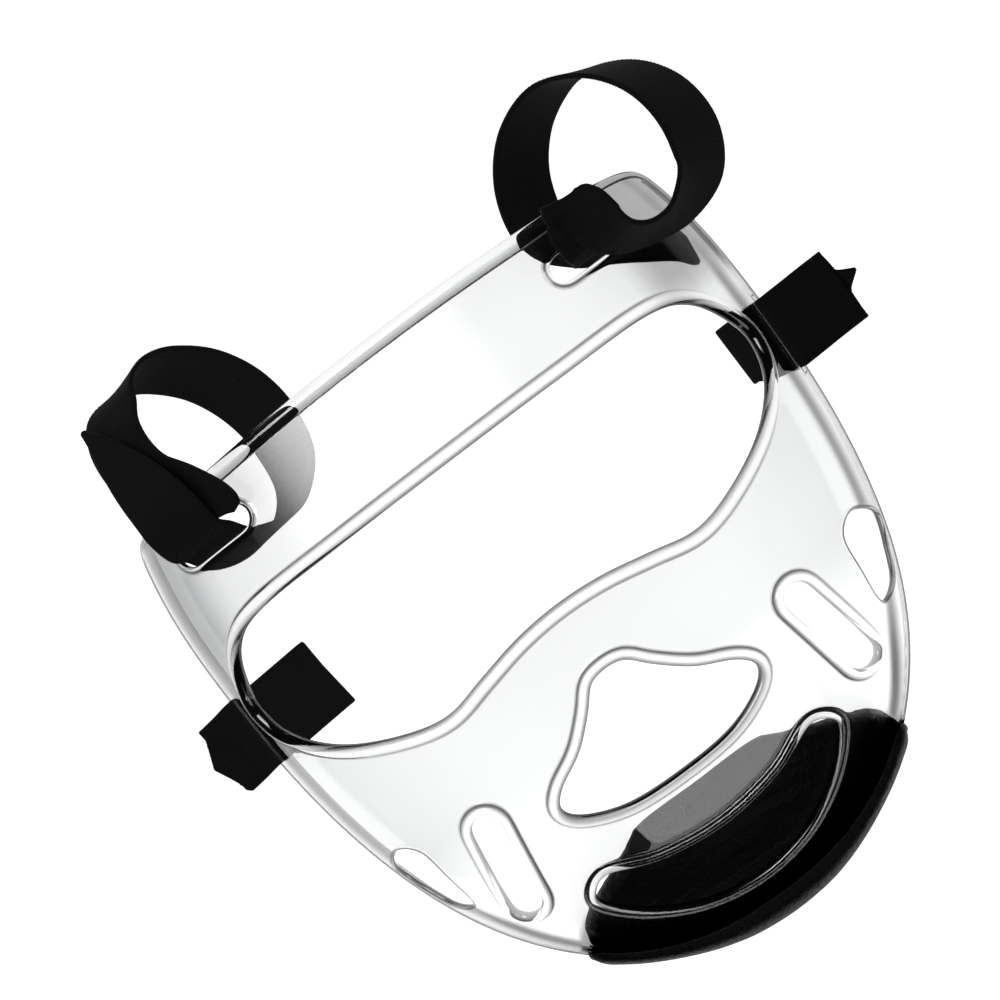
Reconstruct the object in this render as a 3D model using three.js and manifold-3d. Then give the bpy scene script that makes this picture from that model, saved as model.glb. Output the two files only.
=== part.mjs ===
// Clear face shield for contact sport: a moulded shell with rolled edges, a chin pad and four webbing straps.
// Millimetres. The shield lies face up on the floor: +Z is its front, +Y its top edge, +X the viewer's right.
// Its shapes are drawn about a point level with the eyes; the part's origin is on the pad's resting face.
import * as THREE from 'three';
import { mergeVertices } from 'three/addons/utils/BufferGeometryUtils.js';
import Module from 'manifold-3d';

const wasm = await Module();
wasm.setup();

// Shell form: an egg-shaped tray, measured on its outer face
const HALF_WIDTH = 105;
const WIDEST_Y = 25;
const CHIN_REACH = 162;
const BROW_REACH = 120;
const SQUARENESS = 2.35;
const FRONT_HEIGHT = 52;
const FRONT_SAG = 22;
const WALL_DROP = 30;
const WALL_STEEPNESS = 14;
const SHELL_WALL = 2;

// Edge of the shell: a thin rim bead that lifts at the chin, and a thick rolled bar along the top
const RIM_RADIUS = 1.5;
const CHIN_LIFT = 8.5;
const LIFT_FROM_Y = -60;
const LIFT_TO_Y = -125;
const BAR_RADIUS = 2.75;
const BAR_FULL_TO_X = 55;
const BAR_ENDS_X = 88;
const TOP_EDGE_Y = 79.6;
const TOP_EDGE_FALL = 3.5;
const CORNER_FROM_X = 90;
const CORNER_TO_X = 102;
const CORNER_DROP = 6;

// Openings: middle lines of their beads, from the top round the right side to the bottom
const EYE_HALF = [
  { x: 0, y: 38.3 }, { x: 40, y: 38.2 }, { x: 72, y: 37.5 }, { x: 85, y: 31.8 }, { x: 92, y: 19 },
  { x: 93, y: 9 }, { x: 88.5, y: -2.5 }, { x: 77, y: -13.5 }, { x: 60, y: -21.6 }, { x: 45, y: -24.8 },
  { x: 30, y: -21.7 }, { x: 15, y: -18.6 }, { x: 0, y: -17.5 },
];
const MOUTH_HALF = [
  { x: 0, y: -37 }, { x: 7, y: -38.5 }, { x: 13, y: -44.8 }, { x: 22, y: -52.6 }, { x: 33, y: -58.6 },
  { x: 37.6, y: -64.8 }, { x: 33, y: -71.4 }, { x: 19, y: -77 }, { x: 0, y: -78.3 },
];
const CHIN_HALF = [
  { x: 0, y: -96.5 }, { x: 21, y: -93.8 }, { x: 37.5, y: -87.5 }, { x: 45.6, y: -92.3 }, { x: 43, y: -98.8 },
  { x: 33, y: -108 }, { x: 18, y: -116 }, { x: 0, y: -119.2 },
];
const JAW_HOLE = [
  { x: 86, y: -46.5 }, { x: 78.6, y: -51 }, { x: 76.8, y: -62.7 }, { x: 76.4, y: -76 }, { x: 84.8, y: -74.5 },
  { x: 90.5, y: -66 }, { x: 95, y: -53.5 },
];
const SLOT_VENT = { from: { x: 57.2, y: -57 }, to: { x: 61.6, y: -81.8 }, radius: 6.4 };
const TOP_SLOT = { from: { x: 60.6, y: 61.3 }, to: { x: 78.6, y: 61.3 }, radius: 5.4 };
const BEAD = { eye: 2.3, mouth: 2, slotVent: 1.9, chin: 1.7, topSlot: 1.2, jawHole: 1 };
const SIDE_SLOT = { y: 7.5, length: 29.6, low: 4.6, high: 9.2, from: 96, to: 110 };

// Chin pad: its outline in the front view from the middle to the right end, and the lip that takes the shell's rim
const PAD_EDGE = [
  { x: 0, top: -81.3, bottom: -139.8 },
  { x: 14, top: -81.3, bottom: -138.7 },
  { x: 23, top: -82.2, bottom: -136.5 },
  { x: 33, top: -87.4, bottom: -132.8 },
  { x: 46, top: -93.6, bottom: -126.4 },
  { x: 54, top: -99.4, bottom: -121.4 },
  { x: 58.6, top: -104.4, bottom: -117.9 },
  { x: 61, top: -109, bottom: -113.4 },
];
const PAD_THICKNESS = 11;
const PAD_CLEARANCE = 0.9;
const PAD_REST_Y = -128;
const LIP_RISE = 8;

// Webbing
const STRAP_WIDTH = 25.4;
const STRAP_THICKNESS = 1.5;
const TAB_THICKNESS = 1.3;
const TAB_LAYER_GAP = 0.4;

// Centre line of each loop and the direction of the webbing's width there
const LEFT_LOOP = [
  { at: [-64.7, 60.7, 44.8], across: [0.84, 0.36, 0.4], left: -6.5, right: 10.5 },
  { at: [-65.6, 63, 45], across: [0.84, 0.36, 0.4], left: -4 },
  { at: [-67.3, 67.3, 45.4], across: [0.88, 0.39, 0.27], left: 6.5 },
  { at: [-71, 74.9, 45.2], across: [0.88, 0.4, 0.25] },
  { at: [-75, 83.7, 44.5], across: [0.83, 0.26, 0.5] },
  { at: [-76.4, 94.2, 42.5], across: [0.82, 0.14, 0.56] },
  { at: [-75.3, 103.8, 39.5], across: [0.86, 0.1, 0.5] },
  { at: [-71, 111.2, 35.5], across: [0.93, 0.15, 0.33] },
  { at: [-64.7, 114.7, 31], across: [0.79, 0.1, 0.6] },
  { at: [-58.6, 114.5, 25.5], across: [0.71, 0.11, 0.69] },
  { at: [-52.8, 110.9, 19.5], across: [0.7, 0.17, 0.69] },
  { at: [-46.3, 103.6, 15], across: [0.74, 0.2, 0.64] },
  { at: [-41.2, 92.1, 12.5], across: [0.79, 0.19, 0.58] },
  { at: [-39.5, 78.7, 12.5], across: [0.8, 0.15, 0.58] },
  { at: [-42.1, 63.8, 14.5], across: [0.76, 0.09, 0.65] },
  { at: [-49.2, 55, 19.8], across: [0.66, 0, 0.75] },
  { at: [-57.4, 52.6, 26.6], across: [0.76, 0.04, 0.64] },
  { at: [-67, 55.4, 33.8], across: [0.92, 0.03, 0.38], right: 9.5 },
  { at: [-70.2, 61, 40.6], across: [0.94, 0, 0.33], right: 8.5 },
  { at: [-73, 64.2, 45.6], across: [0.91, 0.1, 0.4], right: 9.5 },
  { at: [-75.2, 73.8, 49], across: [0.84, 0.24, 0.49] },
  { at: [-76.9, 83, 48.8], across: [0.8, 0.25, 0.55], left: 11.6 },
  { at: [-78.4, 92.6, 47], across: [0.82, 0.27, 0.5], left: 8.9, right: 8.9 },
  { at: [-80.1, 101.5, 44.2], across: [0.83, 0.25, 0.5], left: 5, right: 5 },
  { at: [-82, 109.2, 41.6], across: [0.76, 0.25, 0.6], left: 0.8, right: 0.8 },
];
const RIGHT_LOOP = [
  { at: [71.6, 60.4, 37.2], across: [0.94, 0, -0.33], left: 8.5 },
  { at: [71.6, 61.4, 41.5], across: [0.94, 0, -0.33], left: 8.5 },
  { at: [71.6, 63.2, 45.4], across: [0.95, 0, -0.31], left: 9.5 },
  { at: [72.4, 66.2, 48], across: [0.98, -0.05, -0.15], left: 11.5 },
  { at: [74, 71, 50], across: [0.96, -0.24, 0], left: 10.5, right: 11 },
  { at: [74.6, 73.4, 52.8], across: [0.91, -0.4, 0.1], left: 6.5, right: 7 },
  { at: [74.4, 69.8, 55.6], across: [0.85, -0.3, 0.43], left: 10.5, right: 11 },
  { at: [75, 61.9, 56], across: [0.66, -0.02, 0.75] },
  { at: [79.1, 56.9, 54.6], across: [0.34, 0.11, 0.93] },
  { at: [86.7, 53.5, 53], across: [-0.02, 0.15, 0.99] },
  { at: [97, 53.6, 51.6], across: [-0.32, 0.19, 0.93] },
  { at: [108.6, 59.9, 50.8], across: [-0.55, 0.22, 0.81] },
  { at: [114.1, 72, 50.6], across: [-0.66, 0.18, 0.73] },
  { at: [113.2, 87, 48], across: [-0.67, 0.14, 0.73] },
  { at: [105.6, 99.6, 42], across: [-0.67, 0.14, 0.73] },
  { at: [91.8, 106.2, 36], across: [-0.67, 0.14, 0.73] },
  { at: [78.4, 102.7, 30], across: [-0.67, 0.14, 0.73] },
  { at: [68.4, 92.9, 25], across: [-0.67, 0.14, 0.73] },
  { at: [63.8, 81, 20.5], across: [-0.67, 0.14, 0.73] },
  { at: [64.5, 72, 17.5], across: [-0.62, 0.1, 0.78] },
  { at: [69, 65.5, 15.7], across: [-0.45, -0.3, 0.84] },
  { at: [76, 61, 15], across: [-0.32, -0.42, 0.86] },
  { at: [84, 55.8, 15], across: [-0.3, -0.44, 0.86] },
  { at: [92.6, 49.6, 14.8], across: [-0.28, -0.48, 0.83] },
  { at: [96, 44.4, 11.4], across: [-0.26, -0.5, 0.83], left: 7, right: 8.5 },
];

// Middle line of each folded tab from its square end, through the wall slot, to the fold inside
const LEFT_TAB = {
  point: { reach: 5, apex: 0, low: -10.2, high: 12.4 },
  rows: [
    { at: [-116.9, 4.9, 2.2], across: [-0.08, 1, 0] },
    { at: [-110.5, 5.6, 4.2], across: [-0.05, 1, 0] },
    { at: [-103.5, 6.6, 6.9], across: [0, 1, 0] },
    { at: [-94, 7, 5.2], across: [-0.03, 1, 0] },
    { at: [-84, 7.6, 3.1], across: [-0.08, 1, 0] },
    { at: [-75.2, 8.1, 2.2], across: [-0.11, 1, 0] },
  ],
};
const RIGHT_TAB = {
  point: { reach: 6, apex: 1.5, low: -3.3, high: 5.1 },
  rows: [
    { at: [128, 7.6, 2.2], across: [0, 1, 0] },
    { at: [119, 7.5, 3], across: [0, 1, 0] },
    { at: [110.5, 7.3, 4.6], across: [0, 1, 0] },
    { at: [103.5, 7.2, 6.9], across: [0, 1, 0] },
    { at: [96, 7.2, 5.6], across: [0, 1, 0], left: 11 },
    { at: [89, 7.2, 3.8], across: [0, 1, 0], left: 8 },
  ],
};

// How finely each form is faceted
const SHELL_COLUMNS = 54;
const SHELL_LEVELS = 10;
const BEAD_SIDES = 6;
const EDGE_STEPS = 44;
const PAD_SECTIONS = 18;
const PAD_POINTS = 6;
const PAD_BACK_POINTS = 7;
const ROW_STEPS = 3;

const vector = (p) => new THREE.Vector3(...p);

// The egg outline as a unit direction, squared off at its corners.
function eggDirection(angle) {
  const power = 2 / SQUARENESS;
  const square = (v) => Math.sign(v) * Math.abs(v) ** power;
  return { x: square(Math.cos(angle)), y: square(Math.sin(angle)) };
}

const reachAt = (y) => (y > WIDEST_Y ? BROW_REACH : CHIN_REACH);

// How far out a point of the front view lies: 0 on the axis, 1 on the egg. An inset makes the egg smaller.
function eggLevel(x, y, inset = 0) {
  const across = Math.abs(x) / (HALF_WIDTH - inset);
  const along = Math.abs(y - WIDEST_Y) / (reachAt(y) - inset);
  return (across ** SQUARENESS + along ** SQUARENESS) ** (1 / SQUARENESS);
}

const heightAtLevel = (level, inset = 0) =>
  FRONT_HEIGHT - inset - FRONT_SAG * level ** 2 - WALL_DROP * level ** WALL_STEEPNESS;

const shellHeight = (x, y, inset = 0) => heightAtLevel(eggLevel(x, y, inset), inset);

// The level at which the tray has fallen to a height.
function levelOfHeight(height, inset) {
  let low = 0;
  let high = 1.1;
  for (let i = 0; i < 40; i += 1) {
    const middle = (low + high) / 2;
    if (heightAtLevel(middle, inset) > height) low = middle;
    else high = middle;
  }
  return low;
}

function shellNormal(x, y) {
  const step = 0.05;
  const slopeX = (shellHeight(x + step, y) - shellHeight(x - step, y)) / (2 * step);
  const slopeY = (shellHeight(x, y + step) - shellHeight(x, y - step)) / (2 * step);
  return new THREE.Vector3(-slopeX, -slopeY, 1).normalize();
}

// Closed body through rings of equal length; its two ends are capped, or joined for a loop.
function skin(rings, loop = false) {
  const count = rings[0].length;
  const positions = rings.flat().flatMap((p) => [p.x, p.y, p.z]);
  const index = [];
  const spans = loop ? rings.length : rings.length - 1;
  for (let i = 0; i < spans; i += 1) {
    const here = i * count;
    const there = ((i + 1) % rings.length) * count;
    for (let j = 0; j < count; j += 1) {
      const next = (j + 1) % count;
      index.push(here + j, here + next, there + next, here + j, there + next, there + j);
    }
  }
  const cap = (ring, start, reversed) => {
    const centre = ring.reduce((sum, p) => sum.add(p), new THREE.Vector3()).divideScalar(count);
    const hub = positions.length / 3;
    positions.push(centre.x, centre.y, centre.z);
    for (let j = 0; j < count; j += 1) {
      const next = (j + 1) % count;
      if (reversed) index.push(hub, start + next, start + j);
      else index.push(hub, start + j, start + next);
    }
  };
  if (!loop) {
    cap(rings[0], 0, true);
    cap(rings[rings.length - 1], (rings.length - 1) * count, false);
  }
  const geometry = new THREE.BufferGeometry();
  geometry.setAttribute('position', new THREE.Float32BufferAttribute(positions, 3));
  geometry.setIndex(faceOut(positions, index));
  return geometry;
}

// Triangles turned so that the enclosed volume is positive.
function faceOut(positions, index) {
  const corner = (k) => new THREE.Vector3().fromArray(positions, 3 * index[k]);
  let volume = 0;
  for (let k = 0; k < index.length; k += 3) volume += corner(k).dot(corner(k + 1).cross(corner(k + 2)));
  if (volume > 0) return index;
  return index.map((_, k) => index[k - (k % 3) + (2 - (k % 3))]);
}

function toSolid(geometry) {
  const bare = geometry.clone();
  bare.deleteAttribute('normal');
  bare.deleteAttribute('uv');
  const merged = mergeVertices(bare, 1e-4);
  return new wasm.Manifold(new wasm.Mesh({
    numProp: 3,
    vertProperties: merged.attributes.position.array,
    triVerts: new Uint32Array(merged.index.array),
  }));
}

function fromSolid(solid) {
  const mesh = solid.getMesh();
  const geometry = new THREE.BufferGeometry();
  geometry.setAttribute('position', new THREE.Float32BufferAttribute(mesh.vertProperties, 3));
  geometry.setIndex(Array.from(mesh.triVerts));
  geometry.computeVertexNormals();
  return geometry;
}

const mirrored = (points) => points.map((p) => ({ x: -p.x, y: p.y }));

// Smooth closed line through the points of one half and its mirror image.
function wholeOutline(half, perSpan = 2) {
  const inner = half.filter((p) => p.x > 0).reverse();
  return smoothOutline([...half, ...mirrored(inner)], perSpan);
}

function smoothOutline(points, perSpan = 3) {
  const curve = new THREE.CatmullRomCurve3(points.map((p) => new THREE.Vector3(p.x, p.y, 0)), true, 'catmullrom');
  return curve.getPoints(points.length * perSpan).slice(0, -1);
}

function stadium({ from, to, radius }, arcSteps = 7) {
  const heading = Math.atan2(to.y - from.y, to.x - from.x);
  const half = (centre, start) => Array.from({ length: arcSteps }, (_, k) => {
    const turn = start + (Math.PI * k) / (arcSteps - 1);
    return { x: centre.x + radius * Math.cos(turn), y: centre.y + radius * Math.sin(turn) };
  });
  return [...half(to, heading - Math.PI / 2), ...half(from, heading + Math.PI / 2)];
}

// Tube of varying radius along a closed line; each place gives its point, radius and face normal.
function closedTube(places) {
  const rings = places.map(({ point, radius, normal }, k) => {
    const before = places[(k + places.length - 1) % places.length].point;
    const after = places[(k + 1) % places.length].point;
    const side = normal.clone().cross(after.clone().sub(before)).normalize();
    const up = after.clone().sub(before).normalize().cross(side).normalize();
    return Array.from({ length: BEAD_SIDES }, (_, j) => {
      const turn = (2 * Math.PI * (j + 0.5)) / BEAD_SIDES;
      const out = up.clone().multiplyScalar(Math.cos(turn)).addScaledVector(side, Math.sin(turn));
      return point.clone().addScaledVector(out, radius);
    });
  });
  return skin(rings, true);
}

// Rolled edge of an opening, flush inside and raised outside.
function openingBead(outline, radius) {
  return closedTube(outline.map(({ x, y }) => {
    const normal = shellNormal(x, y);
    const point = new THREE.Vector3(x, y, shellHeight(x, y)).addScaledVector(normal, radius - SHELL_WALL);
    return { point, radius, normal };
  }));
}

function throughCut(outline) {
  const shape = new THREE.Shape(outline.map((p) => new THREE.Vector2(p.x, p.y)));
  const geometry = new THREE.ExtrudeGeometry(shape, { depth: 2 * FRONT_HEIGHT, bevelEnabled: false });
  return geometry.translate(0, 0, -FRONT_HEIGHT / 2);
}

function rimHeight(y) {
  const lift = THREE.MathUtils.smoothstep(-y, -LIFT_FROM_Y, -LIFT_TO_Y);
  return RIM_RADIUS + CHIN_LIFT * lift;
}

function barRadius(x) {
  const thin = THREE.MathUtils.smoothstep(Math.abs(x), BAR_FULL_TO_X, BAR_ENDS_X);
  return THREE.MathUtils.lerp(BAR_RADIUS, RIM_RADIUS, thin);
}

// Height of the bar's centre line in the front view.
function topEdge(x) {
  const past = Math.max(0, Math.abs(x) - CORNER_FROM_X) / (CORNER_TO_X - CORNER_FROM_X);
  const fall = TOP_EDGE_FALL * (x / BAR_ENDS_X) ** 2;
  return TOP_EDGE_Y - fall - CORNER_DROP * past ** 3 - barRadius(x);
}

// Tray wall: outer face from the axis to the rim, then the inner face back.
function trayWall() {
  const face = (inset) => {
    const rings = [];
    for (let i = 1; i <= SHELL_LEVELS; i += 1) {
      const share = Math.sin((Math.PI / 2) * (i / SHELL_LEVELS)) ** 0.8;
      rings.push(Array.from({ length: SHELL_COLUMNS }, (_, k) => {
        const { x, y } = eggDirection((2 * Math.PI * (k + 0.5)) / SHELL_COLUMNS);
        const reach = (y > 0 ? BROW_REACH : CHIN_REACH) - inset;
        const level = share * levelOfHeight(rimHeight(WIDEST_Y + reach * y), inset);
        return new THREE.Vector3(
          (HALF_WIDTH - inset) * level * x,
          WIDEST_Y + reach * level * y,
          heightAtLevel(level, inset),
        );
      }));
    }
    return rings;
  };
  return skin([...face(0), ...face(SHELL_WALL).reverse()]);
}

// Closed line round the whole edge: along the top bar, down the corners and round the rim under the chin.
function edgeBead() {
  const inset = SHELL_WALL / 2;
  let cornerX = CORNER_FROM_X;
  const rimLevel = levelOfHeight(RIM_RADIUS, inset);
  while (eggLevel(cornerX, topEdge(cornerX), inset) < rimLevel) cornerX += 0.1;
  const cornerY = topEdge(cornerX);
  const places = [];
  const add = (x, y, z, radius) => {
    const inward = 0.98;
    const normal = shellNormal(x * inward, WIDEST_Y + (y - WIDEST_Y) * inward);
    places.push({ point: new THREE.Vector3(x, y, z), radius, normal });
  };
  const topSteps = EDGE_STEPS / 2;
  for (let k = 0; k < topSteps; k += 1) {
    const x = cornerX * Math.sin(Math.PI * (k / topSteps - 0.5));
    add(x, topEdge(x), shellHeight(x, topEdge(x), inset), barRadius(x));
  }
  const power = SQUARENESS / 2;
  const start = Math.atan2(
    ((cornerY - WIDEST_Y) / (BROW_REACH - inset)) ** power,
    (cornerX / (HALF_WIDTH - inset)) ** power,
  );
  for (let k = 0; k < EDGE_STEPS; k += 1) {
    const { x, y } = eggDirection(start - ((Math.PI + 2 * start) * k) / EDGE_STEPS);
    const reach = (y > 0 ? BROW_REACH : CHIN_REACH) - inset;
    const height = rimHeight(WIDEST_Y + reach * y);
    const level = levelOfHeight(height, inset);
    add((HALF_WIDTH - inset) * level * x, WIDEST_Y + reach * level * y, height, RIM_RADIUS);
  }
  return closedTube(places);
}

// Everything above the top bar's centre line.
function aboveTopEdge() {
  const margin = 30;
  const xs = Array.from({ length: EDGE_STEPS }, (_, k) => {
    const share = k / (EDGE_STEPS - 1) - 0.5;
    return (HALF_WIDTH + 1) * Math.sin(Math.PI * share);
  });
  const line = xs.map((x) => ({ x, y: topEdge(x) }));
  const far = HALF_WIDTH + margin;
  const ends = [{ x: far, y: line[0].y }, { x: far, y: BROW_REACH + 2 * margin }];
  return throughCut([...line, ...ends, ...mirrored(ends).reverse()]);
}

function sideSlotCut(side) {
  const { y, length, low, high, from, to } = SIDE_SLOT;
  const box = new THREE.BoxGeometry(to - from, length, high - low);
  return box.translate((side * (from + to)) / 2, y, (low + high) / 2);
}

function shieldShell() {
  const bothSides = (points) => [points, mirrored(points).reverse()];
  const openings = [
    { outline: wholeOutline(EYE_HALF), bead: BEAD.eye },
    { outline: wholeOutline(MOUTH_HALF), bead: BEAD.mouth },
    { outline: wholeOutline(CHIN_HALF), bead: BEAD.chin },
    ...bothSides(stadium(SLOT_VENT)).map((outline) => ({ outline, bead: BEAD.slotVent })),
    ...bothSides(stadium(TOP_SLOT)).map((outline) => ({ outline, bead: BEAD.topSlot })),
    ...bothSides(smoothOutline(JAW_HOLE)).map((outline) => ({ outline, bead: BEAD.jawHole })),
  ];
  let solid = toSolid(trayWall()).subtract(toSolid(aboveTopEdge()));
  for (const { outline } of openings) solid = solid.subtract(toSolid(throughCut(outline)));
  for (const { outline, bead } of openings) solid = solid.add(toSolid(openingBead(outline, bead)));
  solid = solid.add(toSolid(edgeBead()));
  for (const side of [-1, 1]) solid = solid.subtract(toSolid(sideSlotCut(side)));
  return fromSolid(solid);
}

// Where the chin end of the tray, at a distance from the centre line, has a height.
function wallY(x, height, inset) {
  const across = Math.abs(x) / (HALF_WIDTH - inset);
  const along = levelOfHeight(height, inset) ** SQUARENESS - across ** SQUARENESS;
  return WIDEST_Y - (CHIN_REACH - inset) * Math.max(0, along) ** (1 / SQUARENESS);
}

// Where the wall comes down to a height above or below the middle of its rim.
function besideRim(x, above, inset) {
  let y = LIFT_TO_Y;
  for (let i = 0; i < 12; i += 1) y = wallY(x, rimHeight(y) + above, inset);
  return { y, z: rimHeight(y) + above };
}

// Padded cup: its front follows the shell's inner face and then, under the rim, turns up outside it as a lip.
// Its back follows the chin, and its lower edge lies on the floor.
function padSection(x, top, bottom, lip) {
  const frontInset = SHELL_WALL + PAD_CLEARANCE;
  const backInset = frontInset + PAD_THICKNESS;
  const at = (y, z) => new THREE.Vector3(x, y, Math.max(0, z));
  const knee = besideRim(x, -RIM_RADIUS - PAD_CLEARANCE, frontInset);
  knee.y = THREE.MathUtils.clamp(knee.y, bottom + 2, top - 0.5);
  const face = (y, isFront) => {
    const high = Math.max(knee.z, shellHeight(x, y, frontInset));
    const low = Math.max(0, shellHeight(x, y, backInset));
    const round = Math.sqrt(1 - (1 - Math.min(1, (top - y) / 12)) ** 5);
    return at(y, THREE.MathUtils.lerp((high + low) / 2, isFront ? high : low, round));
  };
  const front = [];
  for (let k = 0; k < PAD_POINTS; k += 1) {
    front.push(face(THREE.MathUtils.lerp(top, knee.y, Math.sin((Math.PI / 2) * (k / PAD_POINTS)) ** 1.3), true));
  }
  const shelf = knee.z;
  const beyond = Math.max(bottom + 0.8, besideRim(x, 0, SHELL_WALL / 2 - 1.9).y - 0.4);
  const crest = besideRim(x, LIP_RISE * lip, -PAD_CLEARANCE);
  const toBottom = (share) => THREE.MathUtils.lerp(crest.y, bottom, share);
  const crestZ = THREE.MathUtils.lerp(shelf, crest.z, lip);
  const turn = [
    at(knee.y, shelf),
    at(beyond, shelf),
    at(beyond, shelf + 3.2 * lip),
    at(THREE.MathUtils.lerp(beyond, crest.y, lip), crestZ),
    at(THREE.MathUtils.lerp(bottom, toBottom(0.4), lip), crestZ),
    at(THREE.MathUtils.lerp(bottom, toBottom(0.8), lip), THREE.MathUtils.lerp(shelf, 0.65 * crestZ, lip)),
    at(bottom, 0.5 * shelf),
    at(bottom + 1, 0),
  ];
  const back = [];
  for (let k = 1; k < PAD_BACK_POINTS; k += 1) {
    back.push(face(THREE.MathUtils.lerp(bottom + 1, top, k / PAD_BACK_POINTS), false));
  }
  return [...front, ...turn, ...back];
}

function chinPad() {
  const right = PAD_EDGE.map((row) => new THREE.Vector3(row.x, row.top, row.bottom));
  const left = right.slice(1).reverse().map((p) => new THREE.Vector3(-p.x, p.y, p.z));
  const edge = new THREE.CatmullRomCurve3([...left, ...right], false, 'centripetal');
  const rings = [];
  for (let i = 0; i <= PAD_SECTIONS; i += 1) {
    const { x, y, z } = edge.getPoint(i / PAD_SECTIONS);
    const fromEnd = Math.min(i, PAD_SECTIONS - i);
    rings.push(padSection(x, y, z, THREE.MathUtils.smoothstep(fromEnd, 0, 2)));
  }
  return skin(rings);
}

// Flat webbing along rows of centre and width direction, with each edge at its own distance.
function webbing(rows, thickness) {
  const half = STRAP_WIDTH / 2;
  const centres = new THREE.CatmullRomCurve3(rows.map((r) => vector(r.at)), false, 'centripetal');
  const widths = new THREE.CatmullRomCurve3(rows.map((r) => vector(r.across)), false, 'catmullrom');
  const edges = rows.map((r) => ({ left: r.left ?? half, right: r.right ?? half }));
  const steps = (rows.length - 1) * ROW_STEPS;
  const rings = [];
  for (let k = 0; k <= steps; k += 1) {
    const share = k / steps;
    const row = Math.min(rows.length - 2, Math.floor(k / ROW_STEPS));
    const part = k / ROW_STEPS - row;
    const left = THREE.MathUtils.lerp(edges[row].left, edges[row + 1].left, part);
    const right = THREE.MathUtils.lerp(edges[row].right, edges[row + 1].right, part);
    const centre = centres.getPoint(share);
    const along = centres.getTangent(share);
    const face = along.clone().cross(widths.getPoint(share)).normalize();
    const across = face.clone().cross(along).normalize();
    const corner = (reach, lift) => centre.clone()
      .addScaledVector(across, reach)
      .addScaledVector(face, (lift * thickness) / 2);
    rings.push([corner(-left, -1), corner(right, -1), corner(right, 1), corner(-left, 1)]);
  }
  return skin(rings);
}

// Tab folded double: the upper layer in from its square end, round the fold, and the lower layer out to its point.
function foldedTab({ rows, point }) {
  const lift = (TAB_THICKNESS + TAB_LAYER_GAP) / 2;
  const layer = (side) => rows.map((r) => ({ ...r, at: [r.at[0], r.at[1], r.at[2] + side * lift] }));
  const inner = rows[rows.length - 1];
  const outer = rows[0];
  const outward = Math.sign(outer.at[0]);
  const fold = { ...inner, at: [inner.at[0] - outward * 1.3 * lift, inner.at[1], inner.at[2]] };
  const beyond = (distance, low, high) => ({
    at: [outer.at[0] + outward * distance, outer.at[1], outer.at[2] - lift - 0.1],
    across: outer.across,
    left: -low,
    right: high,
  });
  const shoulder = beyond(0.8, point.low, point.high);
  const apex = beyond(point.reach, point.apex - 0.5, point.apex + 0.5);
  return webbing([...layer(1), fold, ...layer(-1).reverse(), shoulder, apex], TAB_THICKNESS);
}

const clearPlastic = new THREE.MeshStandardMaterial({
  color: 0xf2f6f7, roughness: 0.06, metalness: 0, transparent: true, opacity: 0.3,
});
const blackLeather = new THREE.MeshStandardMaterial({ color: 0x0b0b0c, roughness: 0.55, metalness: 0 });
const blackWebbing = new THREE.MeshStandardMaterial({ color: 0x0a0a0a, roughness: 0.9, metalness: 0 });

function piece(name, geometry, material) {
  const mesh = new THREE.Mesh(geometry, material.clone());
  mesh.name = name;
  return mesh;
}

const shield = new THREE.Group();
const drawn = new THREE.Group();
drawn.position.y = -PAD_REST_Y;
drawn.add(piece('shield_shell', shieldShell(), clearPlastic));
drawn.add(piece('chin_pad', chinPad(), blackLeather));

const straps = new THREE.Group();
straps.add(piece('top_left_strap', webbing(LEFT_LOOP, STRAP_THICKNESS), blackWebbing));
straps.add(piece('top_right_strap', webbing(RIGHT_LOOP, STRAP_THICKNESS), blackWebbing));
straps.add(piece('left_side_strap', foldedTab(LEFT_TAB), blackWebbing));
straps.add(piece('right_side_strap', foldedTab(RIGHT_TAB), blackWebbing));
drawn.add(straps);
shield.add(drawn);

export default shield;
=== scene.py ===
"""Clear face shield lying face up: moulded shell with rolled edges, chin pad and four webbing straps."""
import math
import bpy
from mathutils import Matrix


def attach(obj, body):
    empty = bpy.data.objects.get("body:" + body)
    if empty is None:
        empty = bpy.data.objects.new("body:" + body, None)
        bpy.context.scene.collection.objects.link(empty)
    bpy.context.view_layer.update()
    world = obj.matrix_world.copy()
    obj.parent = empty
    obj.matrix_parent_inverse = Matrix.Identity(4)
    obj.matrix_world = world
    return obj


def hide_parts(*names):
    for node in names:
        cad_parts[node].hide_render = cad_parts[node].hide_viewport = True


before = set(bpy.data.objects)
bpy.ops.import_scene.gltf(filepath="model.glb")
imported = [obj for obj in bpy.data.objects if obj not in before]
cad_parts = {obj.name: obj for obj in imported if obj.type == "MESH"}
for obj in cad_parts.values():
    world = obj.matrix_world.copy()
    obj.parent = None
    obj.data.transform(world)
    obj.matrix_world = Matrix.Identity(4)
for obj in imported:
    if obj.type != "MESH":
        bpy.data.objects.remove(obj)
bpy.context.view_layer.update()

from types import SimpleNamespace

import bmesh
import bpy
import numpy as np
from mathutils import Matrix, Vector
from mathutils.geometry import delaunay_2d_cdt

# Shapes are worked out in millimetres about a point level with the eyes. The part's origin is at PAD_REST_Y.
PAD_REST_Y = -128.0
ORIGIN = np.array([0.0, PAD_REST_Y, 0.0])

# Tray form of the shell, on its outer face
HALF_WIDTH = 105.0
WIDEST_Y = 25.0
CHIN_REACH = 162.0
BROW_REACH = 120.0
SQUARENESS = 2.35
FRONT_HEIGHT = 52.0
FRONT_SAG = 22.0
WALL_DROP = 30.0
WALL_STEEPNESS = 14
SHELL_WALL = 2.0
MIDDLE = SHELL_WALL / 2

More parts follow.
